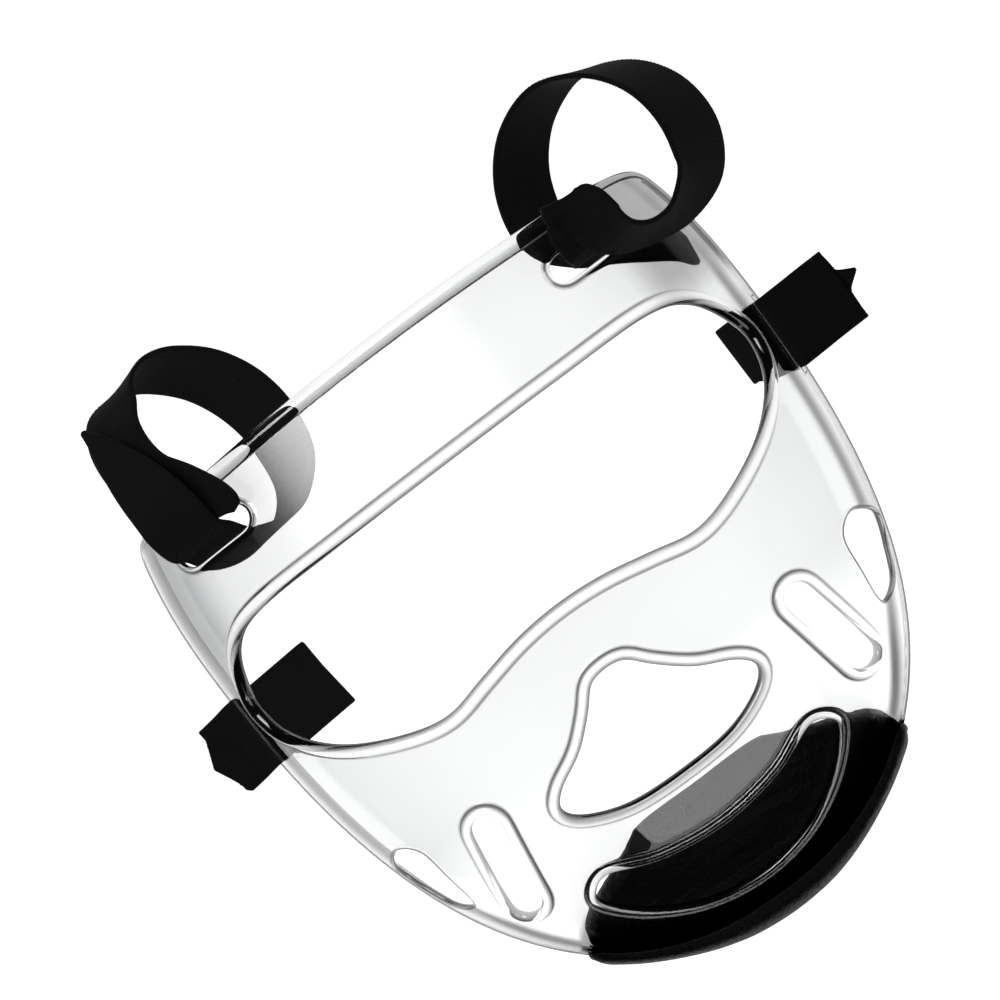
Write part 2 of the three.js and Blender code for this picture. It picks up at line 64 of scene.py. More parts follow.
# Edges of the shell
RIM_RADIUS = 1.5
CHIN_LIFT = 8.5
LIFT_FROM_Y = -60.0
LIFT_TO_Y = -125.0
BAR_RADIUS = 2.75
BAR_FULL_TO_X = 55.0
BAR_ENDS_X = 88.0
BAR_BLENDS_PAST = 8.0
BAR_ABOVE_Y = 50.0
TOP_EDGE_Y = 79.6
TOP_EDGE_FALL = 3.5
CORNER_FROM_X = 90.0
CORNER_TO_X = 102.0
CORNER_WITHIN_X = 107.0
CORNER_DROP = 6.0

# Middle lines of the rolled edges of the openings, right halves from the top to the bottom
EYE_HALF = [(0, 38.3), (40, 38.2), (72, 37.5), (85, 31.8), (92, 19), (93, 9), (88.5, -2.5), (77, -13.5),
            (60, -21.6), (45, -24.8), (30, -21.7), (15, -18.6), (0, -17.5)]
MOUTH_HALF = [(0, -37), (7, -38.5), (13, -44.8), (22, -52.6), (33, -58.6), (37.6, -64.8), (33, -71.4),
              (19, -77), (0, -78.3)]
CHIN_HALF = [(0, -96.5), (21, -93.8), (37.5, -87.5), (45.6, -92.3), (43, -98.8), (33, -108), (18, -116),
             (0, -119.2)]

# Openings on the right, with twins on the left: a closed line, two centres and a radius, or heights and y
JAW_HOLE = [(86, -46.8), (78.6, -51), (76.8, -62.7), (76.4, -75.5), (84.2, -74), (89, -65.6), (93.2, -54)]
SLOT_VENT = ((57.2, -57), (61.6, -81.8), 6.4)
TOP_SLOT = ((60.6, 61.3), (78.6, 61.3), 5.4)
SIDE_SLOT = dict(low=4.2, high=10.2, bottom=-8.2, top=22.8, corner=1.8)
MIRROR = np.array([-1.0, 1.0])

# Radius of each rolled edge, spacing of its points, and the plain strip between it and the wall's own points
BEAD = dict(eye=2.3, mouth=2.0, slot_vent=1.9, chin=1.7, top_slot=1.2, jaw_hole=1.0, side_slot=MIDDLE)
SPACING = dict(rim=1.6, eye=1.7, mouth=1.4, chin=1.3, slot_vent=1.1, top_slot=1.1, jaw_hole=1.2,
               side_slot=0.8)
RIM_MARGIN = 0.5
BEAD_MARGIN = 1.1
PLAIN_MARGIN = 0.8
GRID_SPACING = 2.0
GRID_CLEARANCE = 1.0

# Smoothing of the rim's line and radius and the openings' lines, and rounds that fit a border to the wall
RIM_PASSES = 14
RADIUS_PASSES = 6
OPENING_PASSES = 2
BORDER_ROUNDS = 4

# Section of a rolled edge: points round it, the half chord that needs a fillet, shares of the margin for the
# fillet and the two points that lead to it, the second's rise and painted shade, and the width of the
# painted glow in radians
SECTION_POINTS = 27
LEAST_CHORD = 0.3
FILLET_SHARE = 0.4
LEAD_START = 0.7
LEAD_END = 0.25
LEAD_RISE = 0.15
LEAD_PAINTED_SHADE = 0.6
PAINTED_GLOW_TURN = 1.1

# Painted dark lines of each edge, a painted shade in place of what refraction shows: strength and width, in
# radians, at its free flank and where it meets the wall, and a painted glow in its flank
PAINTED_EDGE_LINES = dict(
    rim=(0.85, 0.9, 0.8, 0.75, 0),
    bar=(0.75, 0.75, 0.8, 0.95, 0),
    eye=(1.0, 1.2, 1.0, 0.95, 0),
    mouth=(1.0, 1.25, 1.0, 0.8, 0),
    chin=(1.0, 1.15, 0.7, 0.6, 0),
    slot_vent=(1.0, 1.0, 1.0, 1.0, 0.3),
    top_slot=(0.85, 0.85, 1.0, 0.75, 0),
    jaw_hole=(0.95, 0.95, 1.0, 0.75, 0),
    side_slot=(0.5, 0.5, 0.3, 0.4, 0),
)
BAR_LINE_PASSES = 8

# Edges whose painted lines change further down: the y of the change, the lines below it and the passes that
# blend
PAINTED_LOWER_LINES = dict(
    mouth=(-66, (1.0, 1.9, 1.0, 0.72, 0), 6),
    slot_vent=(-68, (1.0, 0.7, 1.0, 1.0, 0.45), 10),
)

# Painted shade of the wall, in place of what its refraction and reflection show. Its bend is darkest where
# the wall's normal stands up by the tilt, and darker at the chin. The upper corners are dark, the right one
# less so, and the cheeks a little, fading to the chin. Chin spans are of -y. Points of an edge that are
# lighter than
# PLAIN_BELOW take the wall's painted shade.
BEND_PAINTED_SHADE = dict(tilt=0.44, rise=0.08, fade=0.1, dark=0.62)
CHIN_BEND_PAINTED_SHADE = dict(tilt=0.08, tilt_span=(60, 90), dark=0.3, dark_span=(65, 95))
CORNER_PAINTED_SHADE = dict(dark=0.48, right_less=0.45, x_span=(40, 70), level_span=(0.7, 0.97), y_span=(-10, 40))
CHEEK_PAINTED_SHADE = dict(dark=0.2, outer=0.08, level_span=(0.5, 0.85), chin_less=0.55, chin_span=(50, 75))
PLAIN_BELOW = 0.02

# Where the wall mirrors less: over the pad's lip, and over the tail of the right strap
LIP_VEIL = dict(top_span=(-2, 2), level_span=(0.83, 0.88), end_x=64, end_span=(0, 2))
TAIL_VEIL = dict(share=0.8, x_span=(72, 84), y_span=(28, 42))

# Chin pad: rows of x, top and bottom of its outline from the middle to the right end
PAD_EDGE = [(0, -81.3, -139.8), (14, -81.3, -138.7), (23, -82.2, -136.5), (33, -87.4, -132.8),
            (46, -93.6, -126.4), (54, -99.4, -121.4), (58.6, -104.4, -117.9), (61, -109, -113.4)]
PAD_END = PAD_EDGE[-1][0]
PAD_TIP_SHARE = 0.9985
PAD_FOOT = 1
PAD_SQUARENESS = 5
PAD_THICKNESS = 11.0
PAD_CLEARANCE = 0.9
PAD_SHRINK = 0.9
PAD_RINGS = 61
PAD_RING_POINTS = 45
LIP_RISE = 8.0
LIP_BREADTH = 1.4
LIP_CLEARANCE = 0.5
LIP_SQUARENESS = 30
LIP_RINGS = 121
BEAD_CLEARANCE = 0.4
FLOOR_GAP = 0.05

# Cover of the pad: remesh size and the furthest it swells, in metres, and its cloth
PAD_VOXEL = 0.0022
SWELL_LIMIT = 0.0018
SWELL_STEPS = 14
COVER_CLOTH = dict(quality=5, use_pressure=True, uniform_pressure_force=4.0, tension_stiffness=12,
                   compression_stiffness=12, bending_stiffness=0.4)

# Folds of the cover, where it faces up and up to a level of the tray, and its gaps to the shell
FOLD_DEPTH = 0.6
FOLD_FACING_SPAN = (0.35, 0.8)
FOLD_END_LEVEL = 0.95
FOLD_FADE = 0.06
FOLD_END_FADE = 18
COVER_SET_BACK = 0.25
COVER_BEHIND_WALL = 0.55
COVER_UNDER_RIM = 0.45

# Webbing, its folded tabs and its ribs
STRAP_WIDTH = 25.4
STRAP_THICKNESS = 1.5
STRAP_STEPS = 8
LOOP_PASSES = 12
TAB_PASSES = 0
TAB_THICKNESS = 1.3
TAB_LAYER_GAP = 0.4
TAB_RISE = 0.3
TAB_FOLD_REACH = 1.3
TAB_END_REACH = 0.8
TAB_END_DROP = 0.1
TAB_POINT_HALF = 0.5
RIB_PITCH = 1.1
RIB_RADIUS = 0.4
RIB_HEIGHT = 0.14
RIB_SIDES = 5
RIB_INSET = 0.7
HALF_STRAP = STRAP_WIDTH / 2
LEAST_HALF = 0.3

# Rows along each strap: its centre, the direction of its width and, where it tapers, the reach of its edges
LEFT_LOOP = [
    ((-64.7, 60.7, 45.2), (0.84, 0.36, 0.4), (-6.5, 10.5)),
    ((-65.6, 63, 45.4), (0.84, 0.36, 0.4), (-4, HALF_STRAP)),
    ((-67.3, 67.3, 45.4), (0.88, 0.39, 0.27), (6.5, HALF_STRAP)),
    ((-71, 74.9, 45.2), (0.88, 0.4, 0.25)),
    ((-75, 83.7, 44.5), (0.83, 0.26, 0.5)),
    ((-76.4, 94.2, 42.5), (0.82, 0.14, 0.56)),
    ((-75.3, 103.8, 39.5), (0.86, 0.1, 0.5)),
    ((-71, 111.2, 35.5), (0.93, 0.15, 0.33)),
    ((-64.7, 114.7, 31), (0.79, 0.1, 0.6)),
    ((-58.6, 114.5, 25.5), (0.71, 0.11, 0.69)),
    ((-52.8, 110.9, 19.5), (0.7, 0.17, 0.69)),
    ((-46.3, 103.6, 15), (0.74, 0.2, 0.64)),
    ((-41.2, 92.1, 12.5), (0.79, 0.19, 0.58)),
    ((-39.5, 78.7, 12.5), (0.8, 0.15, 0.58)),
    ((-42.1, 63.8, 14.5), (0.76, 0.09, 0.65)),
    ((-49.2, 55, 19.8), (0.66, 0, 0.75)),
    ((-57.4, 52.6, 26.6), (0.76, 0.04, 0.64)),
    ((-67, 55.4, 33.8), (0.92, 0.03, 0.38), (HALF_STRAP, 9.5)),
    ((-70.2, 61, 40.6), (0.94, 0, 0.33), (HALF_STRAP, 8.5)),
    ((-73, 64.2, 45.6), (0.91, 0.1, 0.4), (HALF_STRAP, 9.5)),
    ((-75.2, 73.8, 49), (0.84, 0.24, 0.49)),
    ((-76.9, 83, 48.8), (0.8, 0.25, 0.55), (11.6, HALF_STRAP)),
    ((-78.4, 92.6, 47), (0.82, 0.27, 0.5), (8.9, 8.9)),
    ((-80.1, 101.5, 44.2), (0.83, 0.25, 0.5), (5, 5)),
    ((-82, 109.2, 41.6), (0.76, 0.25, 0.6), (0.8, 0.8)),
]
RIGHT_LOOP = [
    ((71.6, 60.4, 37.2), (0.94, 0, -0.33), (8.5, HALF_STRAP)),
    ((71.6, 61.4, 41.5), (0.94, 0, -0.33), (8.5, HALF_STRAP)),
    ((71.6, 63.2, 45.4), (0.95, 0, -0.31), (9.5, HALF_STRAP)),
    ((72.4, 66.2, 48), (0.98, -0.05, -0.15), (11, 10)),
    ((73, 72, 50.3), (0.97, -0.15, 0), (10, 7)),
    ((72.8, 75.8, 53), (0.98, -0.16, 0.1), (8, 2.5)),
    ((73.6, 74, 55), (0.92, -0.2, 0.35), (9.5, 6)),
    ((74.3, 69.8, 56), (0.8, -0.12, 0.58), (9, 9.5)),
    ((75, 61.9, 56), (0.66, -0.02, 0.75), (8.5, HALF_STRAP)),
    ((79.1, 56.9, 54.6), (0.34, 0.11, 0.93)),
    ((86.7, 53.5, 53), (-0.02, 0.15, 0.99)),
    ((97, 53.6, 51.6), (-0.32, 0.19, 0.93)),
    ((108.6, 59.9, 50.8), (-0.55, 0.22, 0.81)),
    ((114.1, 72, 50.6), (-0.66, 0.18, 0.73)),
    ((113.2, 87, 48), (-0.67, 0.14, 0.73)),
    ((105.6, 99.6, 42), (-0.67, 0.14, 0.73)),
    ((91.8, 106.2, 36), (-0.67, 0.14, 0.73)),
    ((78.4, 102.7, 30), (-0.67, 0.14, 0.73)),
    ((68.4, 92.9, 25), (-0.67, 0.14, 0.73)),
    ((63.8, 81, 20.5), (-0.67, 0.14, 0.73)),
    ((64.5, 72, 17.5), (-0.62, 0.1, 0.78)),
    ((69, 65.5, 15.7), (-0.45, -0.3, 0.84)),
    ((76, 61, 15), (-0.32, -0.42, 0.86)),
    ((84, 55.8, 15), (-0.3, -0.44, 0.86)),
    ((92.6, 49.6, 14.8), (-0.28, -0.48, 0.83)),
    ((96, 44.4, 11.4), (-0.26, -0.5, 0.83), (7, 8.5)),
]
LEFT_TAB = dict(point=dict(reach=5.0, apex=0.0, low=-10.2, high=12.4), rows=[
    ((-116.9, 4.9, 2.2), (-0.08, 1, 0)),
    ((-110.5, 5.6, 4.2), (-0.05, 1, 0)),
    ((-103.5, 6.6, 6.9), (0, 1, 0)),
    ((-94, 7, 5.2), (-0.03, 1, 0)),
    ((-84, 7.6, 3.1), (-0.08, 1, 0)),
    ((-75.2, 8.1, 2.2), (-0.11, 1, 0)),
])
RIGHT_TAB = dict(point=dict(reach=6.0, apex=1.5, low=-3.3, high=5.1), rows=[
    ((128, 7.6, 2.2), (0, 1, 0)),
    ((119, 7.5, 3), (0, 1, 0)),
    ((110.5, 7.3, 4.6), (0, 1, 0)),
    ((103.5, 7.2, 6.9), (0, 1, 0)),
    ((96, 7.2, 5.6), (0, 1, 0), (11, HALF_STRAP)),
    ((89, 7.2, 3.8), (0, 1, 0), (8, HALF_STRAP)),
])

# Finishes: the painted shade of the clear plastic from plain to dark, tones of the leather, whose painted
# shade darkens the hollows of its folds, and of the tape, and the floor's light by the distance in metres
# from the middle of the shield
PLASTIC_INDEX = 1.5
# Painted shade of the clear plastic: its tint from plain to dark
PLASTIC_PAINTED_SHADES = [
    (0.0, (0.992, 0.994, 0.995, 1)),
    (0.5, (0.42, 0.425, 0.43, 1)),
    (1.0, (0.012, 0.012, 0.013, 1)),
]
PLASTIC_SHADOW = (0.93, 0.94, 0.945, 1)
# Painted shade: the fixed grey of the plastic where it mirrors less
UNMIRRORED_PAINTED_SHADE = 0.55
# Painted shade of the leather: darker in the hollows of its folds
LEATHER_FOLD_PAINTED_SHADES = [(0.3, (0.0012, 0.0012, 0.0013, 1)), (0.8, (0.003, 0.003, 0.0033, 1))]
TAPE_TONES = [(0.2, (0.0008, 0.0008, 0.0009, 1)), (0.95, (0.0045, 0.0045, 0.0048, 1))]
YARN_TONE = (0.0025, 0.0025, 0.0027, 1)
TAPE_SLANT = math.radians(32)
PAPER_TONES = [(0.0, 0.84), (1.0, 0.88)]
FLOOR_LIGHT = [(0.0, 1.0), (0.36, 1.0), (0.8, 0.1)]

# Camera of the photograph: yaw towards the right, roll, distance and view point
CAMERA_YAW = math.radians(3.4)
CAMERA_ROLL = math.radians(37.15)
CAMERA_DISTANCE = 600.0
CAMERA_POINT = (4.1, 18.5, 30.0)
CAMERA_LENS = 72.0
CAMERA_SENSOR = 36.0

# Studio, in metres: the floor, a lamp above the chin, and a panel with its light from its left to its right
FLOOR_HALF = 1.6
CHIN_LAMP = dict(at=(0.067, -0.36, 0.64), aim=(0.017, 0.05, 0.03), size=(0.507, 0.30), power=1.2)
VEIL_PLACE = dict(left=-0.45, right=0.15, low=0.2, high=0.5, up=0.56)
VEIL_LIGHT = [(0.0, 0.02), (0.08, 0.05), (0.14, 0.11), (0.2, 0.25), (0.257, 0.48), (0.35, 0.8), (0.44, 1.0),
              (1.0, 0.0)]
VEIL_STRENGTH = 16.0
ROOM_TONE = 0.5
ROOM_STRENGTH = 0.1


def metres(points):
    """Drawing points in millimetres, moved to the part's origin and turned to metres."""
    return (np.asarray(points, float) - ORIGIN) / 1000.0


def smoothstep(value, low, high):
    """0 below a span, 1 above it and a soft rise between."""
    share = np.clip((value - low) / (high - low), 0, 1)
    return share * share * (3 - 2 * share)


def unit(vectors):
    return vectors / np.linalg.norm(vectors, axis=1)[:, None]


def run_along(points):
    """Length of a line from its start to each of its points."""
    return np.concatenate([[0], np.cumsum(np.linalg.norm(np.diff(points, axis=0), axis=1))])


# Meshes

def place_object(name, data):
    """Object at the origin with its place in its data."""
    placed = bpy.data.objects.new(name, data)
    bpy.context.scene.collection.objects.link(placed)
    return placed


def make_piece(name, points, faces):
    """Smooth piece whose faces point outwards."""
    mesh = bpy.data.meshes.new(name)
    mesh.from_pydata(metres(points).tolist(), [], faces)
    work = bmesh.new()
    work.from_mesh(mesh)
    bmesh.ops.recalc_face_normals(work, faces=work.faces)
    work.to_mesh(mesh)
    work.free()
    shade_smooth(mesh)
    mesh.update()
    return place_object(name, mesh)


def shade_smooth(mesh):
    mesh.polygons.foreach_set("use_smooth", [True] * len(mesh.polygons))


def skin(name, rings):
    """Closed piece through rings of equal length."""
    count, around = rings.shape[:2]
    index = np.arange(count * around).reshape(count, around)
    faces = []
    for here in range(around):
        ahead = (here + 1) % around
        quads = [index[:-1, here], index[1:, here], index[1:, ahead], index[:-1, ahead]]
        faces += np.column_stack(quads).tolist()
    faces += [index[0].tolist(), index[-1][::-1].tolist()]
    return make_piece(name, rings.reshape(-1, 3), faces)


def flat_panel(name, left, right, low, high, up=0.0):
    """Level rectangle."""
    mesh = bpy.data.meshes.new(name)
    corners = [(left, low, up), (right, low, up), (right, high, up), (left, high, up)]
    mesh.from_pydata(corners, [], [(0, 1, 2, 3)])
    return place_object(name, mesh)


def keep_values(mesh, name, values):
    """Keeps a number or a vector for each point of a mesh."""
    kind, key = ("FLOAT", "value") if np.ndim(values) == 1 else ("FLOAT_VECTOR", "vector")
    mesh.attributes.new(name, kind, "POINT").data.foreach_set(key, np.ravel(values))


def vertex_vectors(piece, key):
    """Places, as co, or normals, as normal, of a piece's points."""
    values = np.empty(len(piece.data.vertices) * 3)
    piece.data.vertices.foreach_get(key, values)
    return values.reshape(-1, 3)


def set_places(piece, values):
    piece.data.vertices.foreach_set("co", values.ravel())
    piece.data.update()


def take_result(piece):
    """Makes what the modifiers give the piece's own mesh, and removes them."""
    graph = bpy.context.evaluated_depsgraph_get()
    mesh = bpy.data.meshes.new_from_object(piece.evaluated_get(graph))
    piece.modifiers.clear()
    piece.data = mesh


def apply(piece, kind, **settings):
    """Puts a piece through one modifier."""
    modifier = piece.modifiers.new(kind.lower(), kind)
    for key, value in settings.items():
        setattr(modifier, key, value)
    take_result(piece)
    shade_smooth(piece.data)


def add_to(piece, other):
    """Takes another object's mesh into a piece."""
    work = bmesh.new()
    work.from_mesh(piece.data)
    work.from_mesh(other.data)
    work.to_mesh(piece.data)
    work.free()
    shade_smooth(piece.data)
    bpy.data.objects.remove(other)


# The tray

def egg_level(x, y, inset=0.0):
    """How far out a front-view point lies: 0 at the middle of the tray and 1 at its foot."""
    reach = np.where(y > WIDEST_Y, BROW_REACH, CHIN_REACH) - inset
    across = np.abs(x) / (HALF_WIDTH - inset)
    along = np.abs(y - WIDEST_Y) / reach
    return (across ** SQUARENESS + along ** SQUARENESS) ** (1 / SQUARENESS)


def height_at_level(level, inset=0.0):
    return FRONT_HEIGHT - inset - FRONT_SAG * level ** 2 - WALL_DROP * level ** WALL_STEEPNESS


def tray_height(x, y, inset=0.0):
    return height_at_level(egg_level(x, y, inset), inset)


# Levels out to just past the foot, and how far along the wall each lies from the middle, at the mean reach
LEVELS = np.linspace(0, 1.06, 2001)
SLOPES = -2 * FRONT_SAG * LEVELS - WALL_STEEPNESS * WALL_DROP * LEVELS ** (WALL_STEEPNESS - 1)
MEAN_REACH = 120.0
STRETCH = np.sqrt(1 + (SLOPES / MEAN_REACH) ** 2)
SPREAD = np.concatenate([[0], np.cumsum((STRETCH[1:] + STRETCH[:-1]) / 2 * np.diff(LEVELS))])
LEAST_LEVEL = 1e-9


def level_of_height(height, inset):
    heights = height_at_level(LEVELS, inset)
    return np.interp(-np.asarray(height, float), -heights, LEVELS)


def flatten(points):
    """Front-view points spread out so that the steep side wall lies as flat as the front."""
    points = np.asarray(points, float)
    level = np.maximum(egg_level(points[:, 0], points[:, 1], MIDDLE), LEAST_LEVEL)
    factor = np.interp(level, LEVELS, SPREAD) / level
    return np.column_stack([points[:, 0] * factor, (points[:, 1] - WIDEST_Y) * factor])


def unflatten(points):
    """Front-view points of spread-out ones."""
    spread = np.maximum(egg_level(points[:, 0], points[:, 1] + WIDEST_Y, MIDDLE), LEAST_LEVEL)
    factor = np.interp(spread, SPREAD, LEVELS) / spread
    return np.column_stack([points[:, 0] * factor, points[:, 1] * factor + WIDEST_Y])


def wall_places(points):
    """Middle-of-wall points and normals under front-view points."""
    x, y = points[:, 0], points[:, 1]
    step = 0.02
    slope_x = (tray_height(x + step, y, MIDDLE) - tray_height(x - step, y, MIDDLE)) / (2 * step)
    slope_y = (tray_height(x, y + step, MIDDLE) - tray_height(x, y - step, MIDDLE)) / (2 * step)
    normals = unit(np.column_stack([-slope_x, -slope_y, np.ones(len(points))]))
    return np.column_stack([x, y, tray_height(x, y, MIDDLE)]), normals


def rim_height(y):
    return RIM_RADIUS + CHIN_LIFT * smoothstep(-y, -LIFT_FROM_Y, -LIFT_TO_Y)


def bar_radius(x):
    thin = smoothstep(np.abs(x), BAR_FULL_TO_X, BAR_ENDS_X)
    return BAR_RADIUS + (RIM_RADIUS - BAR_RADIUS) * thin


def on_bar(points, past=0.0):
    """Which points of the shell's edge belong to the top bar, or lie up to a distance past its ends."""
    return (points[:, 1] > BAR_ABOVE_Y) & (np.abs(points[:, 0]) < BAR_ENDS_X + past)


def top_edge(x):
    past = np.maximum(0, np.abs(x) - CORNER_FROM_X) / (CORNER_TO_X - CORNER_FROM_X)
    return TOP_EDGE_Y - TOP_EDGE_FALL * (x / BAR_ENDS_X) ** 2 - CORNER_DROP * past ** 3 - bar_radius(x)


# Outlines in the front view

def closed_curve(points, steps=12):
    """Smooth closed line through the points."""
    here = np.asarray(points, float)
    before, ahead, beyond = np.roll(here, 1, 0), np.roll(here, -1, 0), np.roll(here, -2, 0)
    curve = []
    for t in np.arange(steps) / steps:
        curve.append(here + 0.5 * t * (ahead - before)
                     + t * t * (before - 2.5 * here + 2 * ahead - 0.5 * beyond)
                     + t ** 3 * (-0.5 * before + 1.5 * here - 1.5 * ahead + 0.5 * beyond))
    return np.stack(curve, 1).reshape(-1, 2)


def open_curve(points, steps):
    """Smooth line through the points, even where their spacing changes."""
    points = np.asarray(points, float)
    points = np.vstack([2 * points[0] - points[1], points, 2 * points[-1] - points[-2]])
    curve = []
    for a, b, c, d in zip(points, points[1:], points[2:], points[3:]):
        gaps = [max(np.linalg.norm(gap) ** 0.5, 1e-4) for gap in (b - a, c - b, d - c)]
        start = ((b - a) / gaps[0] - (c - a) / (gaps[0] + gaps[1]) + (c - b) / gaps[1]) * gaps[1]
        end = ((c - b) / gaps[1] - (d - b) / (gaps[1] + gaps[2]) + (d - c) / gaps[2]) * gaps[1]
        for t in np.arange(steps) / steps:
            curve.append((2 * t ** 3 - 3 * t ** 2 + 1) * b + (t ** 3 - 2 * t ** 2 + t) * start
                         + (3 * t ** 2 - 2 * t ** 3) * c + (t ** 3 - t ** 2) * end)
    curve.append(points[-2])
    return np.array(curve)


def whole(half):
    """Closed line from its right half."""
    return closed_curve(half + [(-x, y) for x, y in reversed(half) if x > 0])


def arc(centre, radius, angles):
    return np.column_stack([centre[0] + radius * np.cos(angles), centre[1] + radius * np.sin(angles)])


def stadium(start, end, radius, steps=24):
    """Slot with round ends."""
    heading = math.atan2(end[1] - start[1], end[0] - start[0])
    outline = []
    for centre, turn in ((end, heading), (start, heading + math.pi)):
        angles = turn + np.linspace(-math.pi / 2, math.pi / 2, steps)
        outline.append(arc(centre, radius, angles))
    return np.vstack(outline)


def side_slot_outline():
    """Rounded slot in the side wall, given by height along the wall."""
    radius = SIDE_SLOT["corner"]
    bottom, top = SIDE_SLOT["bottom"] + radius, SIDE_SLOT["top"] - radius
    low, high = SIDE_SLOT["low"] + radius, SIDE_SLOT["high"] - radius
    corners = []
    for turn, centre in ((0, (top, high)), (90, (bottom, high)), (180, (bottom, low)), (270, (top, low))):
        angles = np.radians(turn + np.linspace(0, 90, 6))
        corners.append(arc(centre, radius, angles))
    outline = np.vstack(corners)
    y, level = outline[:, 0], level_of_height(outline[:, 1], MIDDLE)
    along = np.abs(y - WIDEST_Y) / (np.where(y > WIDEST_Y, BROW_REACH, CHIN_REACH) - MIDDLE)
    x = (HALF_WIDTH - MIDDLE) * (level ** SQUARENESS - along ** SQUARENESS) ** (1 / SQUARENESS)
    return np.column_stack([x, y])


def squared(value):
    """Sine or cosine turned to the egg's fuller curve."""
    return np.sign(value) * np.abs(value) ** (2 / SQUARENESS)


def shell_edge_outline(top_points=260, rim_points=500):
    """Whole edge of the shell: the top bar, then the rim from the right corner by the chin to the left."""
    tries = np.linspace(CORNER_FROM_X, CORNER_WITHIN_X, 400)
    rim = level_of_height(RIM_RADIUS, MIDDLE)
    corner = tries[np.argmax(egg_level(tries, top_edge(tries), MIDDLE) >= rim)]
    across = corner * np.sin(np.linspace(-math.pi / 2, math.pi / 2, top_points))
    power = SQUARENESS / 2
    start = math.atan2(((top_edge(corner) - WIDEST_Y) / (BROW_REACH - MIDDLE)) ** power,
                       (corner / (HALF_WIDTH - MIDDLE)) ** power)
    angles = np.linspace(start, -math.pi - start, rim_points)[1:-1]
    wide, tall = squared(np.cos(angles)), squared(np.sin(angles))
    reach = np.where(tall > 0, BROW_REACH, CHIN_REACH) - MIDDLE
    level = level_of_height(rim_height(WIDEST_Y + reach * tall), MIDDLE)
    rim_line = np.column_stack([(HALF_WIDTH - MIDDLE) * level * wide, WIDEST_Y + reach * level * tall])
    return np.vstack([np.column_stack([across, top_edge(across)]), rim_line])


def area_of(loop):
    """Area inside a closed line, negative where it runs clockwise."""
    x, y = loop[:, 0], loop[:, 1]
    return 0.5 * np.sum(x * np.roll(y, -1) - np.roll(x, -1) * y)


def resample(loop, spacing, least=12):
    """Closed line with evenly spaced points."""
    closed = np.vstack([loop, loop[:1]])
    run = run_along(closed)
    count = max(least, int(round(run[-1] / spacing)))
    at = np.arange(count) * run[-1] / count
    return np.column_stack([np.interp(at, run, column) for column in closed.T])


def relax(values, passes):
    """Evens out neighbours along a closed line."""
    for _ in range(passes):
        values = (np.roll(values, 1, 0) + 2 * values + np.roll(values, -1, 0)) / 4
    return values


def inside(points, loop):
    """Which points lie inside a closed line."""
    hit = np.zeros(len(points), bool)
    for a, b in zip(loop, np.roll(loop, -1, 0)):
        crosses = (a[1] > points[:, 1]) != (b[1] > points[:, 1])
        if crosses.any():
            at = a[0] + (points[:, 1] - a[1]) * (b[0] - a[0]) / (b[1] - a[1] + 1e-30)
            hit ^= crosses & (points[:, 0] < at)
    return hit


# Rolled edges

def half_chord(radius, distance):
    """Half the width of a round edge at a distance from its middle."""
    return math.sqrt(max(radius**2 - distance**2, 0))


def lead(at, face, fillet, shade, margin):
    """Two points of a section between the plain wall and the rolled edge, the second with its painted shade.
    """
    return [
        (at + LEAD_START * margin, face, 0.0, 0.0),
        (at + LEAD_END * margin, face * (1 + LEAD_RISE * fillet), shade, 0.0),
    ]


def edge_profile(radius, lift, margin, lines):
    """Rolled edge in section, from the front face round to the back face: across (into the wall), out, the
    painted shade that darkens what is seen through the edge there, and its painted glow."""
    flank, flank_turn, foot, foot_turn, glow = lines
    front = half_chord(radius, MIDDLE - lift)
    back = half_chord(radius, MIDDLE + lift)
    fillet = FILLET_SHARE * margin if front > LEAST_CHORD else 0.0
    back_fillet = FILLET_SHARE * margin if back > LEAST_CHORD else 0.0
    back_foot = foot if back > LEAST_CHORD else 0.0
    first = math.atan2(MIDDLE - lift, front) + fillet / radius
    last = math.atan2(-MIDDLE - lift, back) + 2 * math.pi - back_fillet / radius
    turns = np.linspace(first, last, SECTION_POINTS)
    # Painted shade: dark lines at the free flank and at each foot
    dark = flank * np.exp(-((turns - math.pi) / flank_turn) ** 4)
    for end, strength in ((first, foot), (last, back_foot)):
        dark = np.maximum(dark, strength * np.exp(-((turns - end) / foot_turn) ** 4))
    # Painted glow in the free flank, light that no lamp gives
    painted_glow = glow * np.exp(-((turns - math.pi) / PAINTED_GLOW_TURN) ** 4)
    circle = np.column_stack([radius * np.cos(turns), lift + radius * np.sin(turns), dark, painted_glow])
    lead_in = lead(front, MIDDLE, fillet, LEAD_PAINTED_SHADE * foot, margin)
    lead_out = lead(back, -MIDDLE, back_fillet, LEAD_PAINTED_SHADE * back_foot, margin)[::-1]
    return np.vstack([lead_in, circle, lead_out])


def painted_edge_lines(kind, points):
    """Painted dark lines along one edge. The outer edge changes from bar to rim, some openings further down.
    """
    lines = np.tile(PAINTED_EDGE_LINES[kind], (len(points), 1))
    if kind == "rim":
        lines[on_bar(points)] = PAINTED_EDGE_LINES["bar"]
        lines = relax(lines, BAR_LINE_PASSES)
    if kind in PAINTED_LOWER_LINES:
        change_y, lower, passes = PAINTED_LOWER_LINES[kind]
        lines[points[:, 1] < change_y] = lower
        lines = relax(lines, passes)
    return lines


